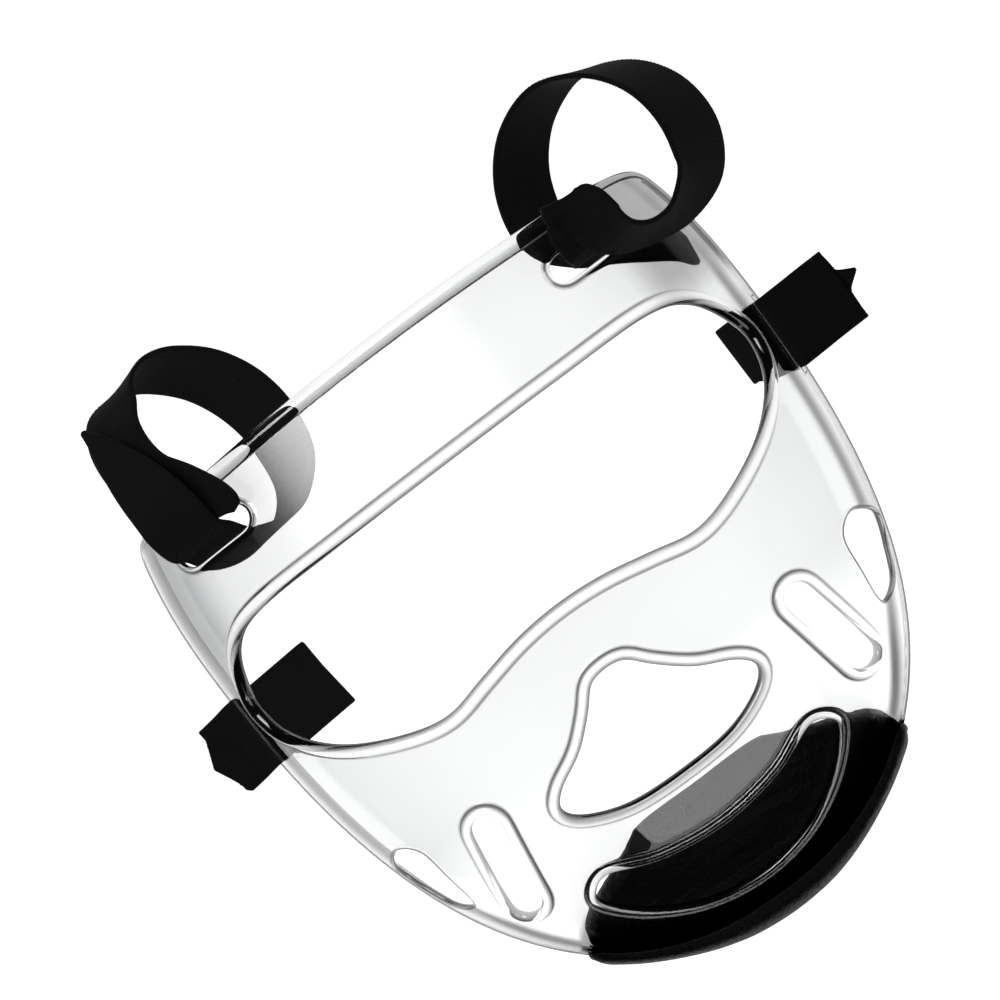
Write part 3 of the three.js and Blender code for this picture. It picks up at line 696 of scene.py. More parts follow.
def bend_painted_shade(y, tilt):
    """Painted dark line half way down the bend of the wall."""
    slope = BEND_PAINTED_SHADE["tilt"] + CHIN_BEND_PAINTED_SHADE["tilt"] * smoothstep(-y, *CHIN_BEND_PAINTED_SHADE["tilt_span"])
    dark = BEND_PAINTED_SHADE["dark"] + CHIN_BEND_PAINTED_SHADE["dark"] * smoothstep(-y, *CHIN_BEND_PAINTED_SHADE["dark_span"])
    onset = smoothstep(slope + BEND_PAINTED_SHADE["rise"] - tilt, 0, BEND_PAINTED_SHADE["rise"])
    return dark * onset * np.exp(-(np.maximum(0, slope - tilt) / BEND_PAINTED_SHADE["fade"]) ** 2)


def corner_painted_shade(x, y, level):
    """Painted shade, darker towards the upper corners."""
    dark = CORNER_PAINTED_SHADE["dark"] - CORNER_PAINTED_SHADE["right_less"] * smoothstep(x, *CORNER_PAINTED_SHADE["x_span"])
    return dark * smoothstep(level, *CORNER_PAINTED_SHADE["level_span"]) * smoothstep(y, *CORNER_PAINTED_SHADE["y_span"])


def cheek_painted_shade(y, level):
    """Slight painted shade all over, a little more towards the sides and less towards the chin."""
    dark = CHEEK_PAINTED_SHADE["dark"] + CHEEK_PAINTED_SHADE["outer"] * smoothstep(level, *CHEEK_PAINTED_SHADE["level_span"])
    return dark * (1 - CHEEK_PAINTED_SHADE["chin_less"] * smoothstep(-y, *CHEEK_PAINTED_SHADE["chin_span"]))


def wall_painted_shade(points, normals):
    """Painted shade of the wall: how much it darkens what is seen through it."""
    x, y = points[:, 0], points[:, 1]
    level = egg_level(x, y)
    return np.maximum(bend_painted_shade(y, normals[:, 2]), corner_painted_shade(x, y, level)) + cheek_painted_shade(y, level)


def mirror_share(points):
    """1 where the wall mirrors the studio, less where it lies over the pad's lip or the right tail."""
    x, y = points[:, 0], points[:, 1]
    below_top = smoothstep(pad_edge(x)[0] - y, *LIP_VEIL["top_span"])
    near_wall = smoothstep(egg_level(x, y), *LIP_VEIL["level_span"])
    lip = below_top * near_wall * smoothstep(LIP_VEIL["end_x"] - np.abs(x), *LIP_VEIL["end_span"])
    tail = TAIL_VEIL["share"] * smoothstep(x, *TAIL_VEIL["x_span"]) * smoothstep(y, *TAIL_VEIL["y_span"])
    return 1 - np.maximum(lip, tail)


# The shell

def shell_openings():
    """Kind and front-view outline of each opening."""
    openings = [("eye", whole(EYE_HALF)), ("mouth", whole(MOUTH_HALF)), ("chin", whole(CHIN_HALF))]
    for kind, outline in (("slot_vent", stadium(*SLOT_VENT)), ("top_slot", stadium(*TOP_SLOT)),
                          ("jaw_hole", closed_curve(JAW_HOLE)), ("side_slot", side_slot_outline())):
        openings += [(kind, outline), (kind, outline * MIRROR)]
    return openings


def shell_edges():
    """Kind of each edge, its spread-out middle line, its radius and how far it stands out from the wall."""
    outer = relax(resample(flatten(shell_edge_outline()), SPACING["rim"]), RIM_PASSES)
    if area_of(outer) < 0:
        outer = outer[::-1]
    front_view = unflatten(outer)
    radius = np.where(on_bar(front_view, BAR_BLENDS_PAST), bar_radius(front_view[:, 0]), RIM_RADIUS)
    edges = [("rim", outer, relax(radius[:, None], RADIUS_PASSES)[:, 0], np.zeros(len(outer)))]
    for kind, outline in shell_openings():
        line = relax(resample(flatten(outline), SPACING[kind]), OPENING_PASSES)
        if area_of(line) > 0:
            line = line[::-1]
        radius = np.full(len(line), BEAD[kind])
        edges.append((kind, line, radius, radius - MIDDLE))
    return edges


def edge_border(line, places, inward, band):
    """Spread-out line that lies a band's width from an edge on the curved wall, with its places there."""
    ahead = np.roll(line, -1, 0) - np.roll(line, 1, 0)
    side = unit(np.column_stack([-ahead[:, 1], ahead[:, 0]]))
    least_reach, most_cut, most_growth = 0.3, 0.7, 1.5
    step = band.copy()
    for _ in range(BORDER_ROUNDS):
        border = line + side * step[:, None]
        border_places, border_normals = wall_places(unflatten(border))
        reached = np.maximum(np.sum((border_places - places) * inward, 1), least_reach)
        step = relax((step * np.clip(band / reached, most_cut, most_growth))[:, None], 2)[:, 0]
    return border, border_places, border_normals


def roll_edge(kind, line, radius, lift):
    """Points of one rolled edge, from the front of the wall to its back, with the painted shade, painted
    glow and mirror share of each point.
    """
    places, normals = wall_places(unflatten(line))
    inward = unit(np.cross(normals, np.roll(places, -1, 0) - np.roll(places, 1, 0)))
    margin = BEAD_MARGIN if radius[0] > MIDDLE else PLAIN_MARGIN
    if kind == "rim":
        margin = RIM_MARGIN
    band = np.sqrt(np.maximum(radius**2 - (MIDDLE - lift) ** 2, 0)) + margin
    border, border_places, border_normals = edge_border(line, places, inward, band)
    lines = painted_edge_lines(kind, places)
    sections = np.stack([edge_profile(r, out, margin, style) for r, out, style in zip(radius, lift, lines)])
    across, out = sections[:, :, :1], sections[:, :, 1:2]
    ring = places[:, None, :] + inward[:, None, :] * across + normals[:, None, :] * out
    front = border_places + border_normals * MIDDLE
    back = border_places - border_normals * MIDDLE
    ring = np.concatenate([front[:, None], ring, back[:, None]], 1)
    # Painted shade of the wall at the border, taken by edge points whose painted lines are faint
    wall = wall_painted_shade(border_places, border_normals)[:, None]
    dark = sections[:, :, 2]
    shade = np.hstack([wall, np.maximum(dark, wall * (dark < PLAIN_BELOW)), wall])
    glow = np.hstack([0 * wall, sections[:, :, 3], 0 * wall])
    gloss = mirror_share(ring.reshape(-1, 3)).reshape(shade.shape)
    if kind == "chin":
        gloss[:, 1:-1] = 1
    return SimpleNamespace(border=border, ring=ring, shade=shade, glow=glow, gloss=gloss)


def closed_strip(index):
    """Quads between neighbouring columns of a table of points whose last row meets its first."""
    ahead = np.roll(index, -1, 0)
    faces = []
    for k in range(index.shape[1] - 1):
        faces += np.column_stack([index[:, k], ahead[:, k], ahead[:, k + 1], index[:, k + 1]]).tolist()
    return faces


def on_wall(points, borders):
    """Which spread-out points lie inside the shell's edge and outside its openings."""
    keep = inside(points, borders[0])
    for opening in borders[1:]:
        keep &= ~inside(points, opening)
    return keep


def wall_grid(borders):
    """Evenly spaced points on the plain wall, in the spread-out drawing."""
    low, high = borders[0].min(0), borders[0].max(0)
    across = np.arange(low[0], high[0], GRID_SPACING)
    rows = []
    for k, y in enumerate(np.arange(low[1], high[1], GRID_SPACING * math.sqrt(3) / 2)):
        rows.append(np.column_stack([across + (k % 2) * GRID_SPACING / 2, np.full(len(across), y)]))
    grid = np.vstack(rows)
    grid = grid[on_wall(grid, borders)]
    edge_points = np.vstack(borders)
    gaps = np.array([np.min(np.sum((edge_points - point) ** 2, 1)) for point in grid])
    return grid[gaps > GRID_CLEARANCE**2]


def wall_triangles(borders, grid):
    """Triangles of the plain wall, as numbers in a list of the borders' points and then the grid's."""
    flat = np.vstack(borders + [grid])
    links, start = [], 0
    for border in borders:
        count = len(border)
        links += [(start + k, start + (k + 1) % count) for k in range(count)]
        start += count
    found = delaunay_2d_cdt([Vector(point) for point in flat], links, [], 0, 1e-6)
    source = [own[0] for own in found[3]]
    triangles = np.array([[source[k] for k in face] for face in found[2]])
    return triangles[on_wall(flat[triangles].mean(1), borders)]


def build_shell():
    """One closed clear body: front and back faces between the rolled edges."""
    edges = [roll_edge(*edge) for edge in shell_edges()]
    borders = [edge.border for edge in edges]
    faces, front_rows, back_rows, count = [], [], [], 0
    for edge in edges:
        index = count + np.arange(edge.shade.size).reshape(edge.shade.shape)
        faces += closed_strip(index)
        front_rows.append(index[:, 0])
        back_rows.append(index[:, -1])
        count += index.size
    grid = wall_grid(borders)
    front = np.concatenate(front_rows + [count + np.arange(len(grid))])
    back = np.concatenate(back_rows + [count + len(grid) + np.arange(len(grid))])
    triangles = wall_triangles(borders, grid)
    faces += front[triangles].tolist() + back[triangles[:, ::-1]].tolist()

    places, normals = wall_places(unflatten(grid))
    vertices = [edge.ring.reshape(-1, 3) for edge in edges]
    vertices += [places + normals * MIDDLE, places - normals * MIDDLE]
    shell = make_piece("clear_shell", np.vstack(vertices), faces)
    # Painted shade, painted glow and mirror share of the wall's own points
    on_grid = dict(shade=wall_painted_shade(places, normals), glow=np.zeros(len(grid)), gloss=mirror_share(places))
    for name, values in on_grid.items():
        looks = [getattr(edge, name).ravel() for edge in edges] + [values, values]
        keep_values(shell.data, name, np.clip(np.concatenate(looks), 0, 1))
    return shell


# The chin pad

def pad_edge(x):
    """Top and bottom of the pad's outline in the front view."""
    line = open_curve([(-x, top, bottom) for x, top, bottom in PAD_EDGE[:0:-1]] + PAD_EDGE, 10)
    return np.interp(x, line[:, 0], line[:, 1]), np.interp(x, line[:, 0], line[:, 2])


def beside_rim(x, above, inset):
    """Where the chin wall comes down to a height above the middle of its rim."""
    across = (np.abs(x) / (HALF_WIDTH - inset)) ** SQUARENESS
    y = np.full_like(x, LIFT_TO_Y)
    for _ in range(12):
        along = level_of_height(rim_height(y) + above, inset) ** SQUARENESS - across
        y = WIDEST_Y - (CHIN_REACH - inset) * np.maximum(along, 0) ** (1 / SQUARENESS)
    return y, rim_height(y) + above


def pad_stations(count):
    """Shares of the pad's half length, closer together towards its ends."""
    return np.sin(np.linspace(-math.pi / 2, math.pi / 2, count))


def pad_sections(shrink):
    """Rings of the padded cup across its length, drawn in by a margin."""
    front_inset = SHELL_WALL + PAD_CLEARANCE + shrink
    back_inset = SHELL_WALL + PAD_CLEARANCE + PAD_THICKNESS - shrink
    share = (1 - np.cos(np.linspace(0, math.pi, PAD_RING_POINTS))) / 2
    rounding = np.sqrt(1 - np.abs(2 * share - 1) ** PAD_SQUARENESS)
    rings = []
    for part in PAD_TIP_SHARE * pad_stations(PAD_RINGS):
        top, bottom = pad_edge(PAD_END * part)
        y = (top - shrink) + (bottom + shrink + PAD_FOOT - top + shrink) * share
        x = np.full_like(y, (PAD_END - shrink) * part)
        under_rim = rim_height(y) - RIM_RADIUS - PAD_CLEARANCE
        high = np.maximum(under_rim - shrink, tray_height(x, y, front_inset))
        low = tray_height(x, y, back_inset)
        middle = (high + np.maximum(shrink, low)) / 2
        front = np.column_stack([x, y, middle + (high - middle) * rounding])
        back = np.column_stack([x, y, np.maximum(shrink, middle + (low - middle) * rounding)])
        rings.append(np.vstack([front, back[1:-1][::-1]]))
    return np.stack(rings)


def lip_sections():
    """Rings of the padded lip that takes the shell's rim: up outside the wall and down to the floor."""
    x = PAD_TIP_SHARE * PAD_END * pad_stations(LIP_RINGS)
    full = np.sqrt(1 - np.abs(x / PAD_END) ** LIP_SQUARENESS)
    crest_y, crest_z = beside_rim(x, LIP_RISE * full, -LIP_CLEARANCE)
    bead_y, bead_z = beside_rim(x, 0, MIDDLE - RIM_RADIUS - BEAD_CLEARANCE)
    outer = np.minimum(pad_edge(x)[1], bead_y - LIP_BREADTH * full)
    breadth = outer - crest_y
    # From under the rim's bead up to the crest, over it and down the outside to the floor
    rows = [
        (bead_y - 0.2, bead_z - 3),
        (bead_y - 0.2, bead_z + 0.6 * full),
        (crest_y, crest_z - 0.6),
        (crest_y - 0.8, crest_z + 0.3),
        (crest_y + breadth * 0.45, crest_z - 0.7),
        (crest_y + breadth * 0.82, 0.62 * crest_z),
        (outer, 0.4 * bead_z),
        (outer + 0.7, np.full_like(x, 0.9)),
        (outer + 2.2, np.full_like(x, 0.1)),
    ]
    rings = []
    for k in range(len(x)):
        section = closed_curve([(y[k], z[k]) for y, z in rows], 4)
        section[:, 1] = np.maximum(section[:, 1], FLOOR_GAP)
        rings.append(np.column_stack([np.full(len(section), x[k]), section]))
    return np.stack(rings)


def swell(piece):
    """Cover blown up from inside for a few steps of cloth, then kept as the mesh."""
    cloth = piece.modifiers.new("cover", "CLOTH")
    for key, value in COVER_CLOTH.items():
        setattr(cloth.settings, key, value)
    cloth.settings.effector_weights.gravity = 0.0
    scene = bpy.context.scene
    for step in range(SWELL_STEPS):
        scene.frame_set(step + 1)
    take_result(piece)
    scene.frame_set(1)


def creases(points):
    """Fine folds of the cover along the cup, in millimetres: three waves that drift across each other."""
    x, y = points[:, 0], points[:, 1]
    run = y + 0.0042 * x ** 2
    waves = 0.22 * np.sin(run * 1.15 + 1.3 * np.sin(x * 0.055))
    waves += 0.16 * np.sin(run * 0.71 - x * 0.043 + 0.8)
    waves += 0.10 * np.sin(run * 2.3 + x * 0.12)
    return waves * smoothstep(PAD_END - np.abs(x), 0, FOLD_END_FADE)


def fit_pad(pad):
    """Keeps the cup behind the shell, under its rim and on the floor, and adds the folds of its cover."""
    points = vertex_vectors(pad, "co") * 1000 + ORIGIN
    normals = vertex_vectors(pad, "normal")
    level = egg_level(points[:, 0], points[:, 1])
    folds = creases(points) * smoothstep(normals[:, 2], *FOLD_FACING_SPAN)
    folds = folds * smoothstep(FOLD_END_LEVEL - level, 0, FOLD_FADE)
    points += normals * (FOLD_DEPTH * folds - COVER_SET_BACK)[:, None]
    inner = tray_height(points[:, 0], points[:, 1], SHELL_WALL + COVER_BEHIND_WALL)
    limit = np.maximum(inner, rim_height(points[:, 1]) - RIM_RADIUS - COVER_UNDER_RIM)
    points[:, 2] = np.clip(points[:, 2], FLOOR_GAP, np.maximum(limit, 2 * FLOOR_GAP))
    set_places(pad, metres(points))


def build_pad():
    """Padded cup blown up from a smaller shape and fitted behind the shell, with its lip."""
    pad = skin("padded_chin_cup", pad_sections(PAD_SHRINK))
    apply(pad, "REMESH", mode="VOXEL", voxel_size=PAD_VOXEL, use_smooth_shade=True)
    before = vertex_vectors(pad, "co")
    swell(pad)
    move = vertex_vectors(pad, "co") - before
    length = np.maximum(np.linalg.norm(move, axis=1), 1e-12)
    set_places(pad, before + move * np.minimum(1, SWELL_LIMIT / length)[:, None])
    apply(pad, "SUBSURF", levels=1, render_levels=1)
    fit_pad(pad)
    add_to(pad, skin("padded_lip", lip_sections()))
    return pad


# Webbing

def straight(values, steps):
    """Values along straight lines between rows."""
    values = np.asarray(values, float)
    rows = np.arange(len(values))
    at = np.linspace(0, len(values) - 1, (len(values) - 1) * steps + 1)
    return np.column_stack([np.interp(at, rows, column) for column in values.T])


def ease(values, passes):
    """Softens the steps of a line without moving its ends."""
    values = values.copy()
    for _ in range(passes):
        values[1:-1] = values[1:-1] / 2 + (values[:-2] + values[2:]) / 4
    return values


def section_outline(thickness):
    """Half-round edges of woven tape, as shares of the half width, insets and heights."""
    half = thickness / 2
    turns = np.linspace(-math.pi / 2, math.pi / 2, 5)
    right = [(1, half * (math.cos(t) - 1), half * math.sin(t)) for t in turns]
    left = [(-1, -half * (math.cos(t) - 1), -half * math.sin(t)) for t in turns]
    inner = np.linspace(-1, 1, 13)[1:-1]
    upper = [(k, 0, half) for k in inner[::-1]]
    lower = [(k, 0, -half) for k in inner]
    return right + upper + left + lower


def tab_rows(tab):
    """Folded tab as one run: the upper layer in, round the fold and the lower layer out to its point."""
    lift = (TAB_THICKNESS + TAB_LAYER_GAP) / 2
    rows = [((x, y, z + TAB_RISE), *rest) for (x, y, z), *rest in tab["rows"]]
    upper = [((x, y, z + lift), *rest) for (x, y, z), *rest in rows]
    lower = [((x, y, z - lift), *rest) for (x, y, z), *rest in rows]
    outward = math.copysign(1, rows[0][0][0])
    (x, y, z), *rest = rows[-1]
    fold = ((x - outward * TAB_FOLD_REACH * lift, y, z), *rest)
    (x, y, z), across = rows[0]
    point = tab["point"]
    apex = point["apex"]
    ends = []
    for reach, low, high in ((TAB_END_REACH, point["low"], point["high"]),
                             (point["reach"], apex - TAB_POINT_HALF, apex + TAB_POINT_HALF)):
        ends.append(((x + outward * reach, y, z - lift - TAB_END_DROP), across, (-low, high)))
    return upper + [fold] + lower[::-1] + ends


def strap_course(rows, passes):
    """Centre line of a strap, its directions and its edges."""
    centres = open_curve([row[0] for row in rows], STRAP_STEPS)
    widths = ease(open_curve([row[1] for row in rows], STRAP_STEPS), passes)
    edges = [row[2] if len(row) > 2 else (HALF_STRAP, HALF_STRAP) for row in rows]
    near, far = ease(straight(edges, STRAP_STEPS), passes).T
    along = unit(np.gradient(centres, axis=0))
    face = unit(np.cross(along, widths))
    return SimpleNamespace(
        centres=centres, along=along, face=face, across=np.cross(face, along), run=run_along(centres),
        middle=(far - near) / 2, half=np.maximum((far + near) / 2, LEAST_HALF))


def weave_strap(name, course, thickness):
    """Closed tape along its course, with its length and width as a UV map."""
    points, marks = [], []
    for share, inset, height in section_outline(thickness):
        offset = course.middle + share * course.half + inset * np.minimum(1, course.half / thickness)
        points.append(course.centres + course.across * offset[:, None] + course.face * height)
        marks.append(np.column_stack([course.run, offset]))
    strap = skin(name, np.stack(points, 1))
    flat = np.stack(marks, 1).reshape(-1, 2) / 1000
    corners = np.empty(len(strap.data.loops), int)
    strap.data.loops.foreach_get("vertex_index", corners)
    layer = strap.data.uv_layers.new(name="weave")
    layer.data.foreach_set("uv", flat[corners].ravel())
    return strap


def rib_sites(course, thickness):
    """Places of the ribs on both faces of a strap, the strap's directions there and their half lengths."""
    at = np.arange(RIB_PITCH, course.run[-1] - RIB_PITCH, RIB_PITCH)

    def between(values):
        return np.column_stack([np.interp(at, course.run, column) for column in values.T])

    middles = between(course.centres + course.across * course.middle[:, None])
    lift = between(course.face) * (thickness / 2 + RIB_HEIGHT - RIB_RADIUS)
    reach = np.maximum(np.interp(at, course.run, course.half) - RIB_INSET, LEAST_HALF)
    return (np.vstack([middles + lift, middles - lift]), np.vstack([between(course.across)] * 2),
            np.vstack([between(course.along)] * 2), np.tile(reach, 2))


# Shader nodes

class Wire:
    """A value in a shader: arithmetic on it adds Math nodes."""

    def __init__(self, tree, socket):
        self.tree = tree
        self.socket = socket

    def math(self, operation, first, second):
        node = self.tree.nodes.new("ShaderNodeMath")
        node.operation = operation
        for socket, value in zip(node.inputs, (first, second)):
            if isinstance(value, Wire):
                self.tree.links.new(value.socket, socket)
            else:
                socket.default_value = value
        return Wire(self.tree, node.outputs[0])

    def __add__(self, other):
        return self.math("ADD", self, other)

    def __radd__(self, other):
        return self.math("ADD", other, self)

    def __mul__(self, other):
        return self.math("MULTIPLY", self, other)

    def __rmul__(self, other):
        return self.math("MULTIPLY", other, self)


class Graph:
    """A node tree under construction."""

    def __init__(self, tree):
        self.tree = tree
        self.tree.nodes.clear()

    def node(self, kind, settings=None, inputs=None):
        """Any node, from its type, its settings and the values or links of its sockets."""
        made = self.tree.nodes.new(kind)
        for key, value in (settings or {}).items():
            if key == "stops":
                self.set_stops(made, value)
            else:
                setattr(made, key, value)
        for key, value in (inputs or {}).items():
            socket = made.inputs[key]
            if isinstance(value, Wire):
                self.tree.links.new(value.socket, socket)
            else:
                socket.default_value = value
        return made

    def set_stops(self, ramp, stops):
        elements = ramp.color_ramp.elements
        while len(elements) < len(stops):
            elements.new(1.0)
        for element, (position, colour) in zip(elements, stops):
            element.position = position
            element.color = colour

    def wire(self, node, output=0):
        return Wire(self.tree, node.outputs[output])

    def value(self, kind, settings=None, inputs=None, output=0):
        """One output of a new node."""
        return self.wire(self.node(kind, settings, inputs), output)


class Finish(Graph):
    """A node material, or the world's light, under construction."""

    def __init__(self, owner):
        owner.use_nodes = True
        self.owner = owner
        super().__init__(owner.node_tree)

    def done(self, surface, kind="ShaderNodeOutputMaterial"):
        self.node(kind, inputs={"Surface": surface})
        return self.owner


def new_finish(name):
    return Finish(bpy.data.materials.new(name))


def grey(tone):
    return (tone, tone, tone, 1)


def greys(stops):
    """Stops of a ramp from places and grey tones."""
    return {"stops": [(place, grey(tone)) for place, tone in stops]}


# Finishes

def clear_plastic():
    """Polished polycarbonate: clear, with a painted shade through its flanks and bends, a painted glow in
    places and a fixed painted shade where it mirrors less, letting lamps shine through.
    """
    made = new_finish("clear_plastic")
    place = made.value("ShaderNodeTexCoord", output="Object")
    wave = made.value("ShaderNodeTexNoise", inputs={"Vector": place, "Scale": 38.0, "Detail": 1.0})
    bump = made.value("ShaderNodeBump", inputs={"Height": wave, "Strength": 0.06, "Distance": 0.0006})
    mottle = made.value("ShaderNodeTexNoise", inputs={"Vector": place, "Scale": 90.0, "Detail": 3.0})
    # Painted shade: a tint that darkens the plastic where its refraction and reflection would
    shade = made.value("ShaderNodeAttribute", {"attribute_name": "shade"}, output="Fac")
    gloss = made.value("ShaderNodeAttribute", {"attribute_name": "gloss"}, output="Fac")
    glow = made.value("ShaderNodeAttribute", {"attribute_name": "glow"}, output="Fac")
    # Painted glow, let out as light from the plastic
    painted_glow = made.value("ShaderNodeValToRGB", greys([(0.0, 0.0), (1.0, 1.0)]), {"Fac": glow})
    painted_shade_colour = made.value("ShaderNodeValToRGB", {"stops": PLASTIC_PAINTED_SHADES}, {"Fac": shade})
    glass = made.value("ShaderNodeBsdfPrincipled", inputs={
        "Base Color": painted_shade_colour, "Roughness": 0.004 + 0.02 * mottle, "IOR": PLASTIC_INDEX, "Normal": bump,
        "Transmission Weight": 1.0, "Emission Color": painted_glow, "Emission Strength": 1.0})
    # Painted shade where the wall mirrors less: the refraction darkened to a fixed grey
    clear = made.value("ShaderNodeBsdfRefraction", inputs={
        "Color": grey(UNMIRRORED_PAINTED_SHADE), "Roughness": 0.0, "IOR": PLASTIC_INDEX})
    body = made.value("ShaderNodeMixShader", inputs={0: gloss, 1: clear, 2: glass})
    through = made.value("ShaderNodeBsdfTransparent", inputs={"Color": PLASTIC_SHADOW})
    shadow = made.value("ShaderNodeLightPath", output="Is Shadow Ray")
    return made.done(made.value("ShaderNodeMixShader", inputs={0: shadow, 1: body, 2: through}))


def black_leather():
    """Grained black cover: pebbled, with finer pores, a soft shine on the high spots and a painted shade,
    darker in the hollows of the folds.
    """
    made = new_finish("black_leather")
    place = made.value("ShaderNodeTexCoord", output="Object")
    grain = {"Vector": place, "Scale": 720.0}
    pebble = made.value("ShaderNodeTexVoronoi", {"feature": "F1"}, grain, "Distance")
    pores = made.value("ShaderNodeTexNoise", inputs={"Vector": place, "Scale": 1500.0, "Detail": 4.0})
    folds = made.value("ShaderNodeTexNoise", inputs={"Vector": place, "Scale": 60.0, "Detail": 3.0})
    height = 0.7 * pebble + 0.25 * pores + 0.6 * folds
    bump = made.value("ShaderNodeBump", inputs={"Height": height, "Strength": 0.5, "Distance": 0.0006})
    # Painted shade: the tone follows the folds, darker in their hollows and lighter on their tops
    tone = made.value("ShaderNodeValToRGB", {"stops": LEATHER_FOLD_PAINTED_SHADES}, {"Fac": folds})
    return made.done(made.value("ShaderNodeBsdfPrincipled", inputs={
        "Base Color": tone, "Roughness": 0.36 + 0.25 * pebble, "Normal": bump, "Specular IOR Level": 0.06}))


def black_webbing():
    """Close-woven black tape: fine slanting ribs along its length and a fuzzy bloom."""
    made = new_finish("black_webbing")
    weave = made.value("ShaderNodeUVMap", {"uv_map": "weave"})
    turned = made.value("ShaderNodeMapping", inputs={"Vector": weave, "Rotation": (0, 0, TAPE_SLANT)})
    ribs = made.value("ShaderNodeTexWave", {"wave_type": "BANDS", "bands_direction": "X"}, {
        "Vector": turned, "Scale": 260.0, "Distortion": 0.8, "Detail": 1.0, "Detail Scale": 2.0})
    cross = made.value("ShaderNodeTexWave", {"wave_type": "BANDS", "bands_direction": "Y"}, {
        "Vector": weave, "Scale": 210.0, "Distortion": 0.5})
    fuzz = made.value("ShaderNodeTexNoise", inputs={"Vector": weave, "Scale": 900.0, "Detail": 4.0})
    height = 0.3 * ribs + 0.25 * cross + 0.6 * fuzz
    bump = made.value("ShaderNodeBump", inputs={"Height": height, "Strength": 0.5, "Distance": 0.0003})
    tone = made.value("ShaderNodeValToRGB", {"stops": TAPE_TONES}, {"Fac": 0.3 * ribs + 0.7 * fuzz})
    return made.done(made.value("ShaderNodeBsdfPrincipled", inputs={
        "Base Color": tone, "Roughness": 0.8 + 0.15 * fuzz, "Normal": bump, "Specular IOR Level": 0.12}))


def black_yarn():
    """Dull black thread of the ribs."""
    made = new_finish("black_yarn")
    return made.done(made.value("ShaderNodeBsdfPrincipled", inputs={
        "Base Color": YARN_TONE, "Roughness": 0.85, "Specular IOR Level": 0.12}))


def pale_floor():
    """White light table: evenly lit under the shield and falling away round it."""
    made = new_finish("pale_floor")
    place = made.value("ShaderNodeTexCoord", output="Object")
    paper = made.value("ShaderNodeTexNoise", inputs={"Vector": place, "Scale": 6.0, "Detail": 2.0})
    tone = made.value("ShaderNodeValToRGB", greys(PAPER_TONES), {"Fac": paper})
    distance = made.value("ShaderNodeVectorMath", {"operation": "LENGTH"}, {0: place}, "Value")
    glow = made.value("ShaderNodeValToRGB", greys(FLOOR_LIGHT), {"Fac": distance})
    return made.done(made.value("ShaderNodeBsdfPrincipled", inputs={
        "Base Color": tone, "Roughness": 0.9, "Specular IOR Level": 0.1, "Emission Color": glow,
        "Emission Strength": 1.0}))


def veil_light():
    """Light of the panel, brightest near its middle and fading to its ends."""
    made = new_finish("veil_panel")
    across = made.value("ShaderNodeAttribute", {"attribute_name": "glow"}, output="Fac")
    tone = made.value("ShaderNodeValToRGB", greys(VEIL_LIGHT), {"Fac": across})
    return made.done(made.value("ShaderNodeEmission", inputs={"Color": tone, "Strength": VEIL_STRENGTH}))


# Ribs of the weave

def rib_tree():
    """Geometry nodes for yarn ribs: one at each point, turned across the tape and as long as it is wide."""
    tree = bpy.data.node_groups.new("woven_ribs", "GeometryNodeTree")
    kinds = {"Points": "Geometry", "Rib radius": "Float", "Rib sides": "Int", "Yarn": "Material"}
    for name, kind in kinds.items():
        tree.interface.new_socket(name, in_out="INPUT", socket_type="NodeSocket" + kind)
    tree.interface.new_socket("Ribs", in_out="OUTPUT", socket_type="NodeSocketGeometry")
    made = Graph(tree)
    given = made.node("NodeGroupInput")
    vector = {"data_type": "FLOAT_VECTOR"}
    across = made.value("GeometryNodeInputNamedAttribute", vector, {"Name": "across"})
    along = made.value("GeometryNodeInputNamedAttribute", vector, {"Name": "along"})
    reach = made.value("GeometryNodeInputNamedAttribute", {"data_type": "FLOAT"}, {"Name": "reach"})
    axes = {"primary_axis": "Z", "secondary_axis": "X"}
    turn = made.value("FunctionNodeAxesToRotation", axes, {0: across, 1: along})
    rib = made.value("GeometryNodeMeshCylinder", {"fill_type": "NGON"}, {
        "Vertices": made.wire(given, "Rib sides"), "Radius": made.wire(given, "Rib radius"), "Depth": 2.0})
    scale = made.value("ShaderNodeCombineXYZ", inputs={"X": 1.0, "Y": 1.0, "Z": reach})
    row = made.value("GeometryNodeInstanceOnPoints", inputs={
        "Points": made.wire(given, "Points"), "Instance": rib, "Rotation": turn, "Scale": scale})
    whole_row = made.value("GeometryNodeRealizeInstances", inputs={"Geometry": row})
    dressed = made.value("GeometryNodeSetMaterial", inputs={
        "Geometry": whole_row, "Material": made.wire(given, "Yarn")})
    made.node("NodeGroupOutput", inputs={"Ribs": dressed})
    return tree


def lay_ribs(name, sites, tree, yarn):
    """Ribs at sites, as a plain mesh."""
    places, across, along, reach = sites
    mesh = bpy.data.meshes.new(name)
    mesh.from_pydata(metres(places).tolist(), [], [])
    for key, values in (("across", across), ("along", along), ("reach", reach / 1000)):
        keep_values(mesh, key, values)
    ribs = place_object(name, mesh)
    modifier = ribs.modifiers.new("woven_ribs", "NODES")
    modifier.node_group = tree
    sizes = {"Rib radius": RIB_RADIUS / 1000, "Rib sides": RIB_SIDES, "Yarn": yarn}
    for socket in tree.interface.items_tree:
        if socket.in_out == "INPUT" and socket.name in sizes:
            modifier[socket.identifier] = sizes[socket.name]
    take_result(ribs)
    return ribs


# Studio

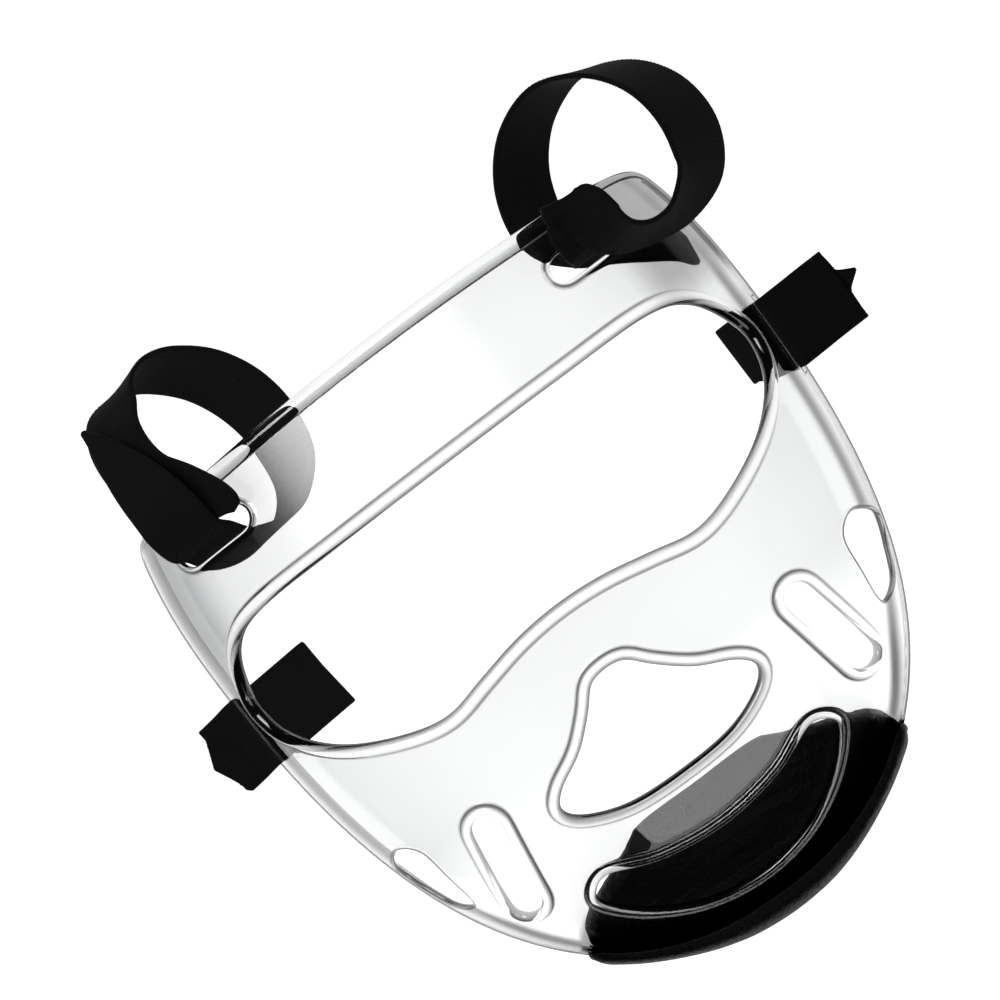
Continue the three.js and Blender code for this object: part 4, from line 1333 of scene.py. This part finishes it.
def place_camera():
    """Almost straight above the shield, turned so that its top edge points to the upper left."""
    back = Vector((math.sin(CAMERA_YAW), 0, math.cos(CAMERA_YAW)))
    right = Vector((math.cos(CAMERA_YAW), 0, -math.sin(CAMERA_YAW)))
    up = Vector((0, 1, 0))
    turn, lean = math.cos(CAMERA_ROLL), math.sin(CAMERA_ROLL)
    axes = Matrix((turn * right - lean * up, lean * right + turn * up, back))
    camera = place_object("camera", bpy.data.cameras.new("camera"))
    camera.data.lens = CAMERA_LENS
    camera.data.sensor_width = CAMERA_SENSOR
    target = Vector(metres([CAMERA_POINT])[0])
    place = Matrix.Translation(target + back * CAMERA_DISTANCE / 1000)
    camera.matrix_world = place @ axes.transposed().to_4x4()
    bpy.context.scene.camera = camera


def lay_floor():
    floor = flat_panel("floor", -FLOOR_HALF, FLOOR_HALF, -FLOOR_HALF, FLOOR_HALF)
    floor.location = (0, -PAD_REST_Y / 1000, 0)
    floor.data.materials.append(pale_floor())


def hang_lamp(name, at, aim, size, power):
    lamp = place_object(name, bpy.data.lights.new(name, "AREA"))
    lamp.data.shape = "RECTANGLE"
    lamp.data.size, lamp.data.size_y = size
    lamp.data.energy = power
    lamp.location = at
    lamp.rotation_euler = (Vector(aim) - Vector(at)).to_track_quat("-Z", "Y").to_euler()


def hang_veil():
    """Soft panel that only shows as a mirror image on the brow."""
    panel = flat_panel("veil_panel", **VEIL_PLACE)
    keep_values(panel.data, "glow", [0.0, 1.0, 1.0, 0.0])
    panel.data.materials.append(veil_light())
    panel.visible_camera = False
    panel.visible_diffuse = False
    panel.visible_transmission = False
    panel.visible_shadow = False


def light_studio():
    hang_lamp("chin_panel", **CHIN_LAMP)
    hang_veil()
    world = bpy.data.worlds.new("studio")
    bpy.context.scene.world = world
    made = Finish(world)
    room = made.value("ShaderNodeBackground", inputs={"Color": grey(ROOM_TONE), "Strength": ROOM_STRENGTH})
    made.done(room, "ShaderNodeOutputWorld")
    bpy.context.scene.view_settings.view_transform = "Standard"


def dress(piece, material, node):
    """Gives a piece its finish and lets it stand for its solid."""
    piece.data.materials.clear()
    piece.data.materials.append(material)
    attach(piece, "root")
    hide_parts(node)


# The scene

place_camera()
lay_floor()
light_studio()

dress(build_shell(), clear_plastic(), "shield_shell")

pad = build_pad()
dress(pad, black_leather(), "chin_pad")

webbing = black_webbing()
yarn = black_yarn()
ribs = rib_tree()
for node, rows, thickness, passes in (("top_left_strap", LEFT_LOOP, STRAP_THICKNESS, LOOP_PASSES),
                                      ("top_right_strap", RIGHT_LOOP, STRAP_THICKNESS, LOOP_PASSES),
                                      ("left_side_strap", tab_rows(LEFT_TAB), TAB_THICKNESS, TAB_PASSES),
                                      ("right_side_strap", tab_rows(RIGHT_TAB), TAB_THICKNESS, TAB_PASSES)):
    course = strap_course(rows, passes)
    strap = weave_strap(node.replace("_strap", "_webbing"), course, thickness)
    dress(strap, webbing, node)
    weave = lay_ribs(node.replace("_strap", "_ribs"), rib_sites(course, thickness), ribs, yarn)
    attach(weave, "root")
